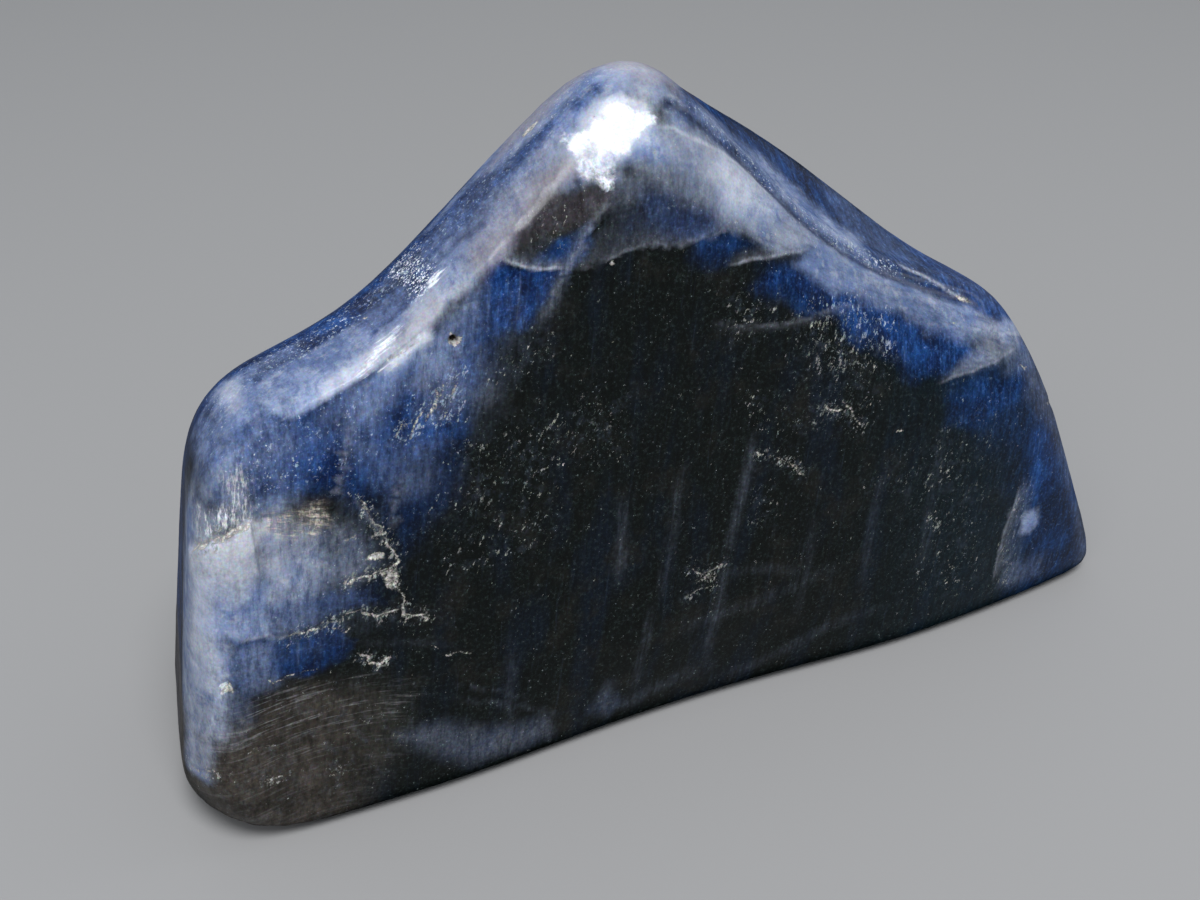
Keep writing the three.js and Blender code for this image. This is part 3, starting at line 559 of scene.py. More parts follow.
# The mesh is refined twice near the fine marks, out to these distances from them, and no deeper than this.
FINE_REACHES = (0.30, 0.10)
FRONT_DEPTH = 4

# The round pit under the left slope, X and Z, and the width of the bright edge that each veil has.
PIT = (14.6, 28.7)
PIT_RADIUS = 0.24
VEIL_EDGE = 0.16

# How far the fine relief rises or sinks.
LONG_WAVES = 0.035
SHORT_WAVES = 0.010
LEDGE_RISE = 0.36
STREAK_DEPTH = 0.10
BREAK_DEPTH = 0.08
CRACK_DEPTH = 0.07
PIT_DEPTH = 0.32
GROOVE_DEPTH = 0.10

# The fine arcs in the brown growth curve about this point, X and Z, under the foot.
ARC_CENTRE = (5.5, -8.0)

# The lights face this place: (name, direction from the stone, distance in metres, width, power).
STONE_MIDDLE = (30, 5, 18)
LIGHTS = [
    ("main light", (-0.10, -0.45, 0.88), 0.5, 0.24, 2.5),
    ("left light", (-0.65, -0.50, 0.57), 0.6, 0.25, 0.5),
    ("right light", (0.894, -0.19, 0.394), 0.6, 0.15, 0.12),
]
ROOM_TINT = (0.9, 0.95, 1.0, 1)
ROOM_STRENGTH = 0.45
FLOOR_WIDTH = 4
# The camera stands here, in millimetres on the stone's axes, turned to the right and tilted down.
CAMERA_PLACE = (-6.49, -63.23, 63.74)
CAMERA_TURN = math.radians(24.64)
CAMERA_TILT = math.radians(32)
LENS = 45
FILM_WIDTH = 36


# ---------------------------------------------------------------- sums on arrays of points


def step_between(values, start, end):
    """0 before start, 1 after end and a smooth rise between them. start may be the larger."""
    t = np.clip((values - start) / (end - start), 0, 1)
    return t * t * (3 - 2 * t)


def from_line(points, a, b):
    """Each point's distance from the line between a and b."""
    a, b = np.array(a, float), np.array(b, float)
    run = b - a
    along = np.clip((points - a) @ run / max(float(run @ run), 1e-9), 0, 1)
    return np.linalg.norm(points - a - along[:, None] * run, axis=1)


def from_path(points, path):
    """Each point's distance from a path of straight stretches."""
    return np.minimum.reduce([from_line(points, a, b) for a, b in zip(path, path[1:])])


def beside_path(points, path):
    """Each point's distance from a path, less than 0 on its right, and how far along that is, 0 to 1."""
    path = np.array(path, float)
    runs = path[1:] - path[:-1]
    lengths = np.linalg.norm(runs, axis=1)
    before = np.concatenate([[0], np.cumsum(lengths)])
    best = np.full(len(points), 1e9)
    signed, along = best.copy(), best.copy()
    for start, run, length, passed in zip(path, runs, lengths, before):
        offset = points - start
        t = np.clip(offset @ run / length**2, 0, 1)
        away = np.linalg.norm(offset - t[:, None] * run, axis=1)
        left = np.sign(run[0] * offset[:, 1] - run[1] * offset[:, 0])
        nearer = away < best
        best = np.where(nearer, away, best)
        signed = np.where(nearer, away * left, signed)
        along = np.where(nearer, (passed + t * length) / before[-1], along)
    return signed, along


def inside(points, outline):
    """How far each point is inside a closed outline, negative outside it."""
    away = from_path(points, [*outline, outline[0]])
    enclosed = np.zeros(len(points), bool)
    for (ax, ay), (bx, by) in zip(outline, [*outline[1:], outline[0]]):
        if ay == by:
            continue
        spans = (points[:, 1] > min(ay, by)) & (points[:, 1] <= max(ay, by))
        enclosed ^= spans & (points[:, 0] < ax + (points[:, 1] - ay) * (bx - ax) / (by - ay))
    return np.where(enclosed, away, -away)


def rough(points, size, seed, octaves=3):
    """Cloudy noise from about -1 to 1, whose lumps are size millimetres across."""
    offset = Vector((seed * 17.3, seed * -9.1, seed * 5.7))
    return np.array([
        noise.fractal(Vector(p) / size + offset, 1.0, 2.0, octaves) for p in points.tolist()
    ])


def overlaid(marks):
    """One layer made of marks, each given by its strength and how it shows at each point, from 0 to 1."""
    bare = 1.0
    for strength, shown in marks:
        bare = bare * (1 - strength * shown)
    return 1 - bare


def most(*layers):
    """The strongest of several layers at each point."""
    return np.maximum.reduce(layers)


# ---------------------------------------------------------------- where each kind of mark shows


def within(flat, outline, blur):
    """How far a field with a blurred edge covers each point of a flat view of the stone."""
    return step_between(inside(flat, outline), -blur, blur)


def cover(flat, fields):
    """How strongly the fields cover each point."""
    return overlaid((strength, within(flat, outline, blur)) for outline, strength, blur in fields)


def cover_round(points, spots):
    """The same for rounded spots in space."""
    return overlaid(
        (strength, step_between(from_line(points, start, end), radius, radius * 0.3))
        for start, end, radius, strength in spots
    )


def trace(flat, lines):
    """How strongly the lines mark each point, falling off evenly to either side."""
    return most(*(
        strength * np.clip(1 - from_path(flat, path) / width, 0, 1) for path, width, strength in lines
    ))


def hang(flat, veils):
    """How strongly the veils show at each point: a clear edge that fades to one side and at the ends."""
    marks = []
    for path, fade, strength in veils:
        away, along = beside_path(flat, path)
        away = away * math.copysign(1, fade)
        edge = step_between(np.abs(away), VEIL_EDGE, 0.02)
        sheet = 0.45 * step_between(away, -0.1, 0.1) * np.clip(1 - away / abs(fade), 0, 1) ** 1.4
        shown = np.maximum(edge, sheet) * step_between(along, 0, 0.2) * step_between(along, 1, 0.8)
        marks.append((strength, shown))
    return overlaid(marks)


def soften(flat, threads):
    """How strongly the silk shows at each point, fading evenly to both sides and at the ends."""
    marks = []
    for path, width, strength in threads:
        away, along = beside_path(flat, path)
        shown = step_between(np.abs(away), width, 0)
        marks.append((strength, shown * step_between(along, 0, 0.3) * step_between(along, 1, 0.7)))
    return overlaid(marks)


def near_marks(points, reach):
    """Which points lie within reach of a crack, crease or break on the front face."""
    front = points[:, [0, 2]]
    near = np.linalg.norm(front - PIT, axis=1) < PIT_RADIUS + reach
    for path, width, _ in CRACKS:
        near |= from_path(front, path) < reach + width / 2
    for path, _, strength in VEILS_AND_HIGHLIGHT:
        if strength > 0.3:
            near |= from_path(front, path) < reach * 0.8
    for outline, _, _ in BROKEN_AND_HIGHLIGHT:
        near |= np.abs(inside(front, outline)) < reach
    near |= (np.abs(inside(front, LEDGE_BLOCK)) < reach) & (front[:, 0] > -0.5)
    return near & (points[:, 1] < FRONT_DEPTH)


# ---------------------------------------------------------------- the stone's mesh


def vectors_of(items, key):
    """A vector for each of a mesh's points or faces."""
    flat = np.empty(len(items) * 3, np.float32)
    items.foreach_get(key, flat)
    return flat.reshape(-1, 3).astype(float)


def on_stone(places):
    """Places in the frame, in metres, as places on the stone, in millimetres."""
    return places / MM - np.array(ORIGIN)


def merged_copy(node, name):
    """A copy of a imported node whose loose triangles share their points."""
    bpy.ops.object.select_all(action="DESELECT")
    node.select_set(True)
    bpy.context.view_layer.objects.active = node
    bpy.ops.object.duplicate()
    piece = bpy.context.view_layer.objects.active
    piece.parent = None
    piece.name = piece.data.name = name
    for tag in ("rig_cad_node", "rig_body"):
        del piece[tag]
    bpy.ops.object.mode_set(mode="EDIT")
    bpy.ops.mesh.select_all(action="SELECT")
    bpy.ops.mesh.remove_doubles(threshold=0.001 * MM)
    bpy.ops.object.mode_set(mode="OBJECT")
    return piece


def choose(items, chosen, kinds):
    """Opens the active piece for editing, with only the chosen ones of its points or faces selected."""
    bpy.context.tool_settings.mesh_select_mode = kinds
    bpy.ops.object.mode_set(mode="EDIT")
    bpy.ops.mesh.select_all(action="DESELECT")
    bpy.ops.object.mode_set(mode="OBJECT")
    items.foreach_set("select", chosen)
    bpy.ops.object.mode_set(mode="EDIT")


def refine(mesh, chosen):
    """Cuts each chosen face into four."""
    choose(mesh.polygons, chosen, (False, False, True))
    bpy.ops.mesh.subdivide(number_cuts=1)
    bpy.ops.object.mode_set(mode="OBJECT")


def round_over(mesh, chosen, rounds):
    """Rounds the chosen points over, as polishing does."""
    choose(mesh.vertices, chosen, (True, False, False))
    bpy.ops.mesh.vertices_smooth(factor=0.5, repeat=rounds)
    bpy.ops.object.mode_set(mode="OBJECT")


def stand_out(points, on_front, on_top):
    """How far the surface stands out at each point, in millimetres."""
    front, above = points[:, [0, 2]], points[:, [0, 1]]
    fine = rough(points, 0.5, 11)
    rise = LONG_WAVES * rough(points, 8.0, 12) + SHORT_WAVES * rough(points, 2.0, 13)
    block = step_between(inside(front, LEDGE_BLOCK), -0.06, 0.10)
    rise += on_front * LEDGE_RISE * block * step_between(front[:, 1], 15.0, 20.4)
    for fields, depth in ((STREAKED, STREAK_DEPTH), (BROKEN_AND_HIGHLIGHT, BREAK_DEPTH)):
        for outline, strength, blur in fields:
            rise -= on_front * depth * strength * within(front, outline, blur) * (1 + fine)
    rise -= on_front * CRACK_DEPTH * trace(front, CRACKS)
    from_pit = np.linalg.norm(front - PIT, axis=1)
    rise -= on_front * PIT_DEPTH * step_between(from_pit, PIT_RADIUS, PIT_RADIUS * 0.4)
    groove, width = TOP_GROOVE
    rise -= on_top * GROOVE_DEPTH * step_between(from_path(above, groove), width, 0)
    # The relief dies out towards the foot, which is cut flat.
    return rise * step_between(points[:, 2], 0.3, 1.5)


def keep_masks(mesh, name, red, green, blue, alpha):
    """Stores four masks, one number a point each, as one colour attribute."""
    layer = mesh.color_attributes.new(name, "FLOAT_COLOR", "POINT")
    layer.data.foreach_set("color", np.stack([red, green, blue, alpha], 1).astype(np.float32).ravel())


def shape_surface(piece):
    """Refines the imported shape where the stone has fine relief, and raises the relief."""
    mesh = piece.data
    smooth = piece.modifiers.new("even surface", "SUBSURF")
    smooth.levels = smooth.render_levels = 1
    bpy.ops.object.modifier_apply(modifier=smooth.name)
    facing = vectors_of(mesh.polygons, "normal")
    refine(mesh, (facing[:, 1] < 0.2) & (facing[:, 2] > -0.5))
    round_over(mesh, np.ones(len(mesh.vertices), bool), POLISH_ROUNDS)
    points = on_stone(vectors_of(mesh.vertices, "co"))
    round_over(mesh, from_path(points, SOFT_LIP) < SOFT_LIP_REACH, SOFT_LIP_ROUNDS)
    for reach in FINE_REACHES:
        middles, facing = on_stone(vectors_of(mesh.polygons, "center")), vectors_of(mesh.polygons, "normal")
        refine(mesh, near_marks(middles, reach) & (facing[:, 1] < 0.1))
    points, normals = on_stone(vectors_of(mesh.vertices, "co")), vectors_of(mesh.vertices, "normal")
    on_front = step_between(normals[:, 1], 0.1, -0.3)
    on_top = step_between(normals[:, 2], 0.3, 0.6)
    on_back = step_between(normals[:, 1], 0.1, 0.4) * (1 - on_top)
    moved = points + normals * stand_out(points, on_front, on_top)[:, None]
    flat = ((moved + np.array(ORIGIN)) * MM).astype(np.float32)
    mesh.vertices.foreach_set("co", flat.ravel())
    mesh.update()
    return points, on_front, on_top, on_back


def mark_surface(mesh, points, on_front, on_top, on_back):
    """Stores where each colour and mark lies. Noise makes the edges of the places loose, wavy or crisp."""
    drift = np.stack([rough(points, 2.6, seed, 4) for seed in (1, 2, 3)], 1)
    small = np.stack([rough(points, 0.7, seed, 3) for seed in (4, 5)], 1)
    wavy = np.stack([rough(points, 1.5, seed, 2) for seed in (6, 7)], 1)
    flat, above = points[:, [0, 2]], points[:, [0, 1]]
    loose, loose_above = flat + drift[:, [0, 2]] * 0.6, above + drift[:, [0, 1]] * 0.4
    near, near_above = flat + wavy * 0.25, above + wavy * 0.3
    crisp = flat + small * 0.16

    def both(place, front_fields, place_above, top_fields, back_fields=()):
        covered = most(on_front * cover(place, front_fields), on_top * cover(place_above, top_fields))
        return most(covered, on_back * cover(place, back_fields))

    bared = 1 - on_front * cover(near, BARE_BROWN)
    royal = both(loose, FRONT_ROYAL, loose_above, TOP_ROYAL, BACK_ROYAL)
    royal = most(royal, cover_round(points + drift, ROUND_ROYAL))
    milky = both(near, FRONT_MILKY, near_above, TOP_MILKY, BACK_MILKY)
    milky = most(milky, cover_round(points + drift * 0.7, ROUND_MILKY))
    brown = most(on_front * cover(loose, FRONT_BROWN), (1 - on_front) * cover(loose, BACK_BROWN))
    streaked = on_front * cover(crisp, STREAKED)
    keep_masks(mesh, "zones", royal, milky * bared, most(brown, 1 - bared), streaked)
    # Brighter milky places, with painted highlights under the summit and along the upper left edge.
    glow_and_highlight = both(near, FRONT_GLOW_AND_HIGHLIGHT, near_above, TOP_GLOW_AND_HIGHLIGHT)
    grey = on_front * cover(loose, FRONT_GREY)
    # Pale veils, and painted highlight lines on the right slope.
    veil_and_highlight = most(on_front * hang(flat + wavy * 0.12, VEILS_AND_HIGHLIGHT), on_top * hang(above + wavy * 0.1, TOP_VEILS_AND_GLINT))
    veil_and_highlight = most(veil_and_highlight, on_back * hang(flat + wavy * 0.12, BACK_VEILS))
    # Painted shade along the groove behind the ridge of the right slope.
    groove, width = TOP_GROOVE
    groove_shade = on_top * 0.8 * step_between(from_path(above + small * 0.1, groove), width * 0.5, 0)
    keep_masks(mesh, "tones", glow_and_highlight, grey, veil_and_highlight, groove_shade)
    # White cracks and broken places, with painted glints on the top and a painted highlight below the
    # summit.
    white_and_highlights = most(both(crisp, BROKEN_AND_HIGHLIGHT, above + small * 0.1, TOP_BROKEN_AND_GLINTS), on_front * trace(crisp, CRACKS))
    white_and_highlights = most(white_and_highlights, on_back * trace(crisp, BACK_CRACKS))
    beside_cracks = np.minimum.reduce([from_path(flat, path) for path, width, _ in CRACKS if width > 0.25])
    flecked = both(loose, FLECKED, loose_above, TOP_FLECKED, BACK_FLECKED)
    flecked = most(flecked, on_front * step_between(beside_cracks, 0.9, 0.2))
    # The pit is painted dark, as the shade inside it.
    away = np.linalg.norm(flat + small * 0.03 - PIT, axis=1)
    pit_shade = on_front * step_between(away, PIT_RADIUS * 1.15, PIT_RADIUS * 0.7)
    # Painted highlights under the summit and along the upper left edge.
    painted_highlight = both(near, FRONT_PAINTED_HIGHLIGHT, near_above, TOP_PAINTED_HIGHLIGHT)
    keep_masks(mesh, "marks", white_and_highlights, flecked, pit_shade, painted_highlight)
    silk = most(on_front * soften(flat + wavy * 0.15, SILK), on_back * soften(flat + wavy * 0.15, BACK_SILK))
    # Where the painted glints are thickest.
    sparkling = both(loose, FRONT_SPARKLING, loose_above, TOP_SPARKLING)
    warm = both(near, FRONT_WARM, near_above, TOP_WARM)
    hazy = on_front * cover(loose, FRONT_HAZY)
    keep_masks(mesh, "accents", silk, sparkling, warm, hazy)


def make_stone():
    piece = merged_copy(frame["nodes"]["sapphire"], "sapphire_stone")
    points, on_front, on_top, on_back = shape_surface(piece)
    mark_surface(piece.data, points, on_front, on_top, on_back)
    bpy.ops.object.shade_smooth()
    piece.data.materials.clear()
    piece.data.materials.append(stone_finish())
    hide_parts("sapphire")
    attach(piece, "root")


# ---------------------------------------------------------------- materials


def colour(red, green, blue):
    """A colour as seen on a screen, 0 to 255, turned into the linear numbers that a shader takes."""
    parts = [c / 255 for c in (red, green, blue)]
    return tuple(c / 12.92 if c <= 0.04045 else ((c + 0.055) / 1.055) ** 2.4 for c in parts) + (1,)


class Shade:
    """A number that changes over the surface. Python's operators on it add the nodes that work it out."""

    def __init__(self, finish, socket):
        self.finish, self.socket = finish, socket

    def _sum(self, operation, first, second):
        return self.finish.node("Math", {"operation": operation}, {0: first, 1: second})

    def __add__(self, other):
        return self._sum("ADD", self, other)

    def __radd__(self, other):
        return self._sum("ADD", other, self)

    def __sub__(self, other):
        return self._sum("SUBTRACT", self, other)

    def __rsub__(self, other):
        return self._sum("SUBTRACT", other, self)

    def __mul__(self, other):
        return self._sum("MULTIPLY", self, other)

    def __rmul__(self, other):
        return self._sum("MULTIPLY", other, self)

    def larger(self, other):
        return self._sum("MAXIMUM", self, other)

    def between(self, start, end):
        """0 before start, 1 after end and a smooth rise between them."""
        sockets = {"Value": self, "From Min": start, "From Max": end}
        return self.finish.node("MapRange", {"interpolation_type": "SMOOTHSTEP"}, sockets)


class Finish:
    """A material and the nodes that make it."""

    def __init__(self, name):
        self.material = bpy.data.materials.new(name)
        self.material.use_nodes = True
        self.tree = self.material.node_tree
        self.tree.nodes.clear()

    def node(self, kind, settings, sockets, output=0):
        made = self.tree.nodes.new("ShaderNode" + kind)
        for name, value in settings.items():
            setattr(made, name, value)
        for name, value in sockets.items():
            if isinstance(value, Shade):
                self.tree.links.new(value.socket, made.inputs[name])
            else:
                made.inputs[name].default_value = value
        return Shade(self, made.outputs[output])

    def show(self, shader):
        """Makes the shader the material's surface."""
        output = self.tree.nodes.new("ShaderNodeOutputMaterial")
        self.tree.links.new(shader.socket, output.inputs["Surface"])
        return self.material

    def vector(self, operation, first, second):
        return self.node("VectorMath", {"operation": operation}, {0: first, 1: second})

    def scaled(self, vector, times):
        return self.node("VectorMath", {"operation": "SCALE"}, {0: vector, "Scale": times})

    def join(self, x, y, z):
        return self.node("CombineXYZ", {}, {0: x, 1: y, 2: z})

    def parts(self, vector):
        made = self.node("SeparateXYZ", {}, {0: vector})
        return [Shade(self, made.socket.node.outputs[i]) for i in range(3)]

    def blend(self, amount, below, above):
        """A colour between two others, either of which may be three numbers as seen on a screen."""
        below, above = (colour(*c) if isinstance(c, tuple) else c for c in (below, above))
        return self.node("Mix", {"data_type": "RGBA"}, {0: amount, 6: below, 7: above}, 2)

    def masks(self, name):
        """The four masks that the mesh holds under this name."""
        made = self.node("Attribute", {"attribute_name": name}, {})
        parts = self.node("SeparateColor", {}, {0: made})
        red, green, blue = (Shade(self, parts.socket.node.outputs[i]) for i in range(3))
        return red, green, blue, Shade(self, made.socket.node.outputs["Alpha"])

    def cloud(self, place, scale, detail=3.0, sharpness=0.5, output=0):
        sockets = {"Vector": place, "Scale": scale, "Detail": detail, "Roughness": sharpness}
        return self.node("TexNoise", {}, sockets, output)

    def tints(self, place, scale):
        """Clouds of every colour, grey on the whole."""
        return self.cloud(place, scale, 2.0, 0.6, 1)


def stone_finish():
    finish = Finish("polished sapphire")
    blend, cloud, join = finish.blend, finish.cloud, finish.join
    coordinates = finish.node("TexCoord", {}, {}, "Object")
    place = finish.vector("SUBTRACT", finish.scaled(coordinates, 1 / MM), tuple(ORIGIN))
    x, y, z = finish.parts(place)
    across = x * math.cos(LAYER_LEAN) - z * math.sin(LAYER_LEAN)
    along = x * math.sin(LAYER_LEAN) + z * math.cos(LAYER_LEAN)
    royal, milky, brown, streaked = finish.masks("zones")
    glow_and_highlight, grey, veil_and_highlight, groove_shade = finish.masks("tones")
    white_and_highlights, flecked, pit_shade, painted_highlight = finish.masks("marks")
    silk, sparkling, warm, hazy = finish.masks("accents")

    sheets = cloud(join(across * 0.42, y * 0.10, along * 0.10), 1.0, 3.0)
    bands = cloud(join(across * 0.9, y * 0.12, along * 0.09), 1.0, 4.0)
    threads = cloud(join(across * 4.2, y * 0.3, along * 0.26), 1.0, 4.0, 0.62)
    clouds = cloud(place, 0.42, 5.0, 0.6)
    lumps = cloud(place, 1.5, 3.0, 0.6)
    wisps = cloud(finish.vector("ADD", place, finish.scaled(finish.tints(place, 0.8), 1.6)), 0.9, 5.0, 0.65)
    grain = cloud(place, 4.6, 3.0, 0.7)
    dust = cloud(place, 9.5, 2.0, 0.7)

    fibres = cloud(join(across * 3.2, y * 1.1, along * 0.8), 1.0, 4.0, 0.72)
    # On the right slope the fibres of the milky band run along it.
    slanted = cloud(join(x * 1.5 + z * 2.6, y * 1.1, x * 0.6 - z * 0.35), 1.0, 4.0, 0.72)
    fibres = fibres + (slanted - fibres) * milky.between(0.1, 0.5) * x.between(30, 34)

    # The deep body is nearly black: greenish, bluish and brownish by turns, in upright sheets.
    deep = blend(sheets.between(0.46, 0.66), (6, 11, 10), (7, 16, 26))
    deep = blend(clouds.between(0.50, 0.70) * 0.6, deep, (26, 26, 23))
    deep = blend(x.between(36, 50) * 0.5, deep, (5, 27, 38))
    deep = blend(grain.between(0.48, 0.78) * 0.4, deep, (46, 56, 56))

    # Blue where the stone is thin enough for light to come back through it.
    blue = blend(clouds.between(0.34, 0.68), (4, 28, 72), (20, 66, 130))
    blue = blend(fibres.between(0.52, 0.70) * 0.35, blue, (52, 96, 160))
    blue = blend(bands.between(0.42, 0.64) * 0.45, blue, (4, 20, 62))
    blue = blend(grain.between(0.5, 0.78) * 0.4, blue, (60, 104, 172))
    surface = blend(royal * (clouds.between(0.2, 0.5) * 0.3 + 0.7), deep, blue)
    surface = blend(threads.between(0.56, 0.86) * (royal * 0.3 + 0.05), surface, (120, 142, 178))
    surface = blend(hazy * (threads * 0.5 + wisps * 0.5).between(0.3, 0.7) * 0.6, surface, (118, 132, 158))
    surface = blend(silk * (threads * 0.6 + wisps * 0.4).between(0.3, 0.7), surface, (120, 130, 148))

    # Brown, cloudy growth whose fine arcs curve about a point under the foot.
    umber = blend(clouds.between(0.35, 0.65), (40, 37, 33), (66, 61, 56))
    umber = blend(x.between(4, 11), umber, (34, 36, 33))
    umber = blend(lumps.between(0.5, 0.72) * 0.35, umber, (78, 80, 84))
    from_centre = join(x - ARC_CENTRE[0], z - ARC_CENTRE[1], 0)
    radius = finish.node("VectorMath", {"operation": "LENGTH"}, {0: from_centre}, 1)
    arcs = cloud(join(radius * 5.0, x * 0.35, z * 0.35), 1.0, 3.0, 0.65)
    arcs_show = arcs.between(0.52, 0.70) * (z.between(5, 10) * 0.6 + 0.16) * (1 - z.between(11, 14))
    umber = blend(arcs_show, umber, (128, 128, 130))
    surface = blend(brown, surface, umber)

    # Milky places: bluish or grey, brighter where they glow and where highlights are painted.
    milk = blend(grey, (116, 138, 184), (142, 147, 162))
    milk = blend(clouds.between(0.36, 0.62) * 0.75, milk, (174, 186, 210))
    milk = blend(wisps.between(0.50, 0.66) * 0.55, milk, (84, 102, 148))
    under_summit = x.between(20, 23) * (1 - x.between(31, 33))
    milk = blend(threads.between(0.45, 0.75) * (0.3 - under_summit * 0.25), milk, (88, 106, 150))
    milk = blend((1 - fibres.between(0.36, 0.52)) * (0.4 - under_summit * 0.34), milk, (72, 94, 144))
    milk = blend(lumps.between(0.52, 0.72) * 0.5, milk, (196, 204, 220))
    milk = blend(glow_and_highlight * (clouds * 0.7 + 0.45), milk, (226, 230, 240))
    surface = blend(milky * (wisps * 0.8 + 0.55), surface, milk)
    warmth = blend(milky, (62, 53, 64), (150, 142, 144))
    surface = blend(warm * (wisps * 0.7 + 0.3), surface, warmth)
    # Pale veils, and painted highlight lines along the lip and the ridge of the right slope.
    surface = blend(veil_and_highlight * (lumps * 1.4 + 0.15), surface, (160, 166, 180))
    # A painted highlight: white under the summit and along the upper left edge, brushed along the lip.
    brushed = cloud(join(z * 4.2 - x * 2.4, y * 4.5, x * 0.4 + z * 0.2), 1.0, 3.0)
    along_lip = 1 - x.between(14, 18)
    ragged = (wisps - 0.5) * (1.5 - along_lip) + (brushed - 0.5) * along_lip * 2.2 + (grain - 0.5) * 0.4
    highlight_paint = (painted_highlight + ragged).between(0.30, 0.90) * painted_highlight.between(0.02, 0.2)
    surface = blend(highlight_paint, surface, (228, 233, 243))

    # Fine ledges along the layers catch light: short bright dashes painted on them as highlights.
    dashes = cloud(join(across * 5.0, y * 2, along * 0.9), 1.0, 5.0, 0.75)
    fanned = cloud(join(x * 1.5 + z * 5.0, y * 2, x * 0.9 - z * 0.3), 1.0, 5.0, 0.75)
    dashes = dashes + (fanned - dashes) * x.between(3.4, 4.4) * 0.65
    ledge_highlights = streaked * dashes.between(0.47, 0.62)
    streak_ground = blend(x.between(3.2, 5), (126, 134, 152), (118, 114, 108))
    surface = blend(streaked * (0.7 - x.between(3.4, 4.4) * 0.3), surface, streak_ground)
    ledge_highlight_colour = blend(x.between(3, 4.4), (224, 226, 230), (206, 198, 184))
    surface = blend(ledge_highlights * 0.85, surface, ledge_highlight_colour)
    # Painted shade in the groove behind the ridge of the right slope.
    surface = blend(groove_shade, surface, (20, 30, 62))

    # Pale flecks, most of them drawn out along a slope, thick in some places and scattered everywhere.
    tilted = join(x * 0.55 + z * 0.95, y * 1.6, z * 1.7 - x * 3.0)
    drawn = cloud(tilted, 1.4, 4.0, 0.72)
    scattered = cloud(place, 2.8, 4.0, 0.78)
    flakes = (drawn * 0.5 + scattered * 0.5 + flecked * 0.095).between(0.618, 0.68)
    # Pin-point sparks are painted glints, thicker where the stone glitters.
    sparks = (grain * 0.5 + dust * 0.5 + flecked * 0.04 + sparkling * 0.07).between(0.635, 0.69)
    shade = cloud(place, 0.9, 3.0, 0.6).between(0.36, 0.66)
    fleck_colour = blend(shade, (78, 88, 88), (180, 181, 174))
    fleck_colour = blend(royal * 0.8, fleck_colour, (160, 180, 210))
    surface = blend(flecked * lumps.between(0.5, 0.7) * 0.25, surface, (72, 82, 98))
    surface = blend(flakes * 0.75, surface, fleck_colour)
    spark_colour = blend(sparkling, (160, 168, 172), (222, 228, 238))
    surface = blend(sparks * (shade * 0.45 + 0.25 + sparkling * 0.5), surface, spark_colour)

    # Cracks and broken places: ragged, gappy, tan at their edges and white in their middles. The same white
    # paints glints on the top and a highlight below the summit.
    ragged = white_and_highlights + (grain - 0.5) * 0.8 + (dust - 0.5) * 0.7
    marked = ragged.between(0.6, 0.9)
    chalk = blend(ragged.between(0.7, 1.15), (116, 115, 110), (208, 206, 200))
    surface = blend(marked * 0.92, surface, chalk)
    # Painted shade darkens the pit.
    surface = blend(pit_shade, surface, (26, 22, 16))

    # A faint play of every tint over all of it.
    play = finish.vector("ADD", finish.scaled(finish.tints(place, 7.0), 0.7), (0.65, 0.65, 0.65))
    uneven = fibres.between(0.3, 0.7) * 0.6 + grain.between(0.3, 0.7) * 0.4 - 0.5
    contrast = (1.2 - milky * (y.between(0, 0.8) * 0.6 + 0.9)).larger(0.2)
    surface = finish.scaled(finish.vector("MULTIPLY", surface, play), uneven * contrast + 1)

    gloss = cloud(place, 1.2, 3.0)
    roughness = gloss * 0.10 + 0.10 + marked.larger(ledge_highlights).larger(flakes) * 0.3
    height = grain * 0.003 + flakes * 0.006 + marked * 0.008 - ledge_highlights * 0.01
    bump = finish.node("Bump", {}, {"Height": height, "Strength": 0.35, "Distance": 0.05 * MM})
    look = {"Base Color": surface, "Normal": bump}
    polished = finish.node("BsdfPrincipled", {}, {**look, "Roughness": roughness, "IOR": 1.24})
    # The polish is duller at the foot, and where the stone is seen edge on.
    matt = finish.node("BsdfPrincipled", {}, {**look, "Roughness": 0.7, "IOR": 1.03})
    edge_on = finish.node("LayerWeight", {}, {"Blend": 0.5}, 1)
    dull = z.between(2.2, 0.9).larger(edge_on.between(0.5, 0.85) * 0.85)
    return finish.show(finish.node("MixShader", {}, {0: dull, 1: polished, 2: matt}))


def floor_finish():
    finish = Finish("pale floor")
    sockets = {"Base Color": (0.30, 0.30, 0.305, 1), "Roughness": 0.6, "Specular IOR Level": 0.2}
    return finish.show(finish.node("BsdfPrincipled", {}, sockets))


# ---------------------------------------------------------------- floor, lights and camera


def make_floor():
    bpy.ops.object.select_all(action="DESELECT")
    bpy.ops.mesh.primitive_plane_add(size=FLOOR_WIDTH, location=(0, 0, low.z))
    floor = bpy.context.active_object
    floor.name = "floor"
    floor.data.materials.append(floor_finish())


def make_light(name, towards, distance, size, power):
    """A round soft light, in the direction towards from the stone and facing it."""
    direction = Vector(towards).normalized()
    bpy.ops.object.light_add(type="AREA", location=in_frame(STONE_MIDDLE) + direction * distance)
    light = bpy.context.active_object
    light.name = name
    light.rotation_euler = direction.to_track_quat("Z", "Y").to_euler()
    light.data.shape = "DISK"
    light.data.size = size
    light.data.energy = power


def make_camera():
    bpy.ops.object.camera_add(location=in_frame(CAMERA_PLACE))
    camera = bpy.context.active_object
    camera.name = "camera"
    camera.rotation_euler = (math.pi / 2 - CAMERA_TILT, 0, -CAMERA_TURN)
    camera.data.lens = LENS
    camera.data.sensor_width = FILM_WIDTH
    camera.data.clip_start = MM
    bpy.context.scene.camera = camera


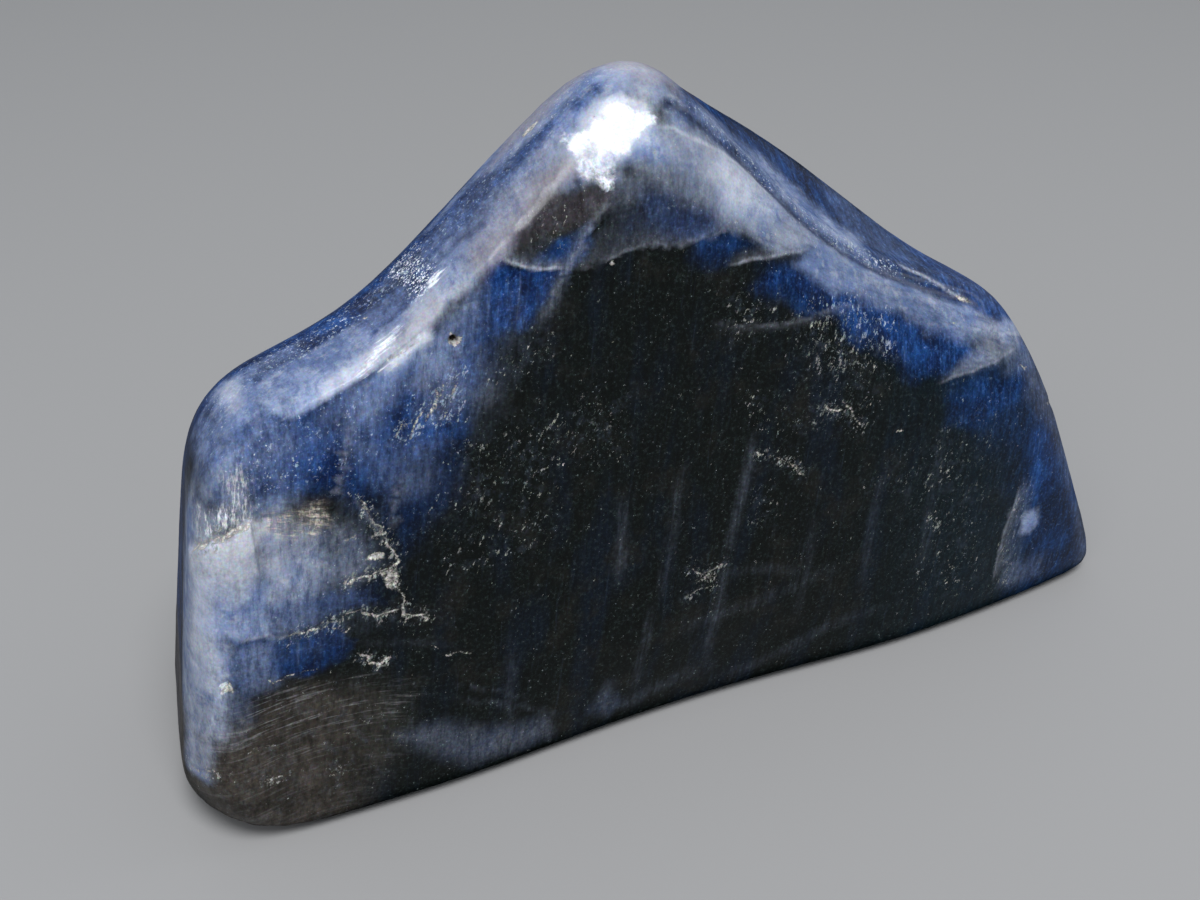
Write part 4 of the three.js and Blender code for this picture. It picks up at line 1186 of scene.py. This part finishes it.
def make_studio():
    make_floor()
    for light in LIGHTS:
        make_light(*light)
    world = bpy.data.worlds.new("soft room")
    world.use_nodes = True
    room = world.node_tree.nodes["Background"]
    room.inputs["Color"].default_value = ROOM_TINT
    room.inputs["Strength"].default_value = ROOM_STRENGTH
    bpy.context.scene.world = world
    bpy.context.scene.view_settings.view_transform = "Standard"


make_camera()
make_studio()
make_stone()
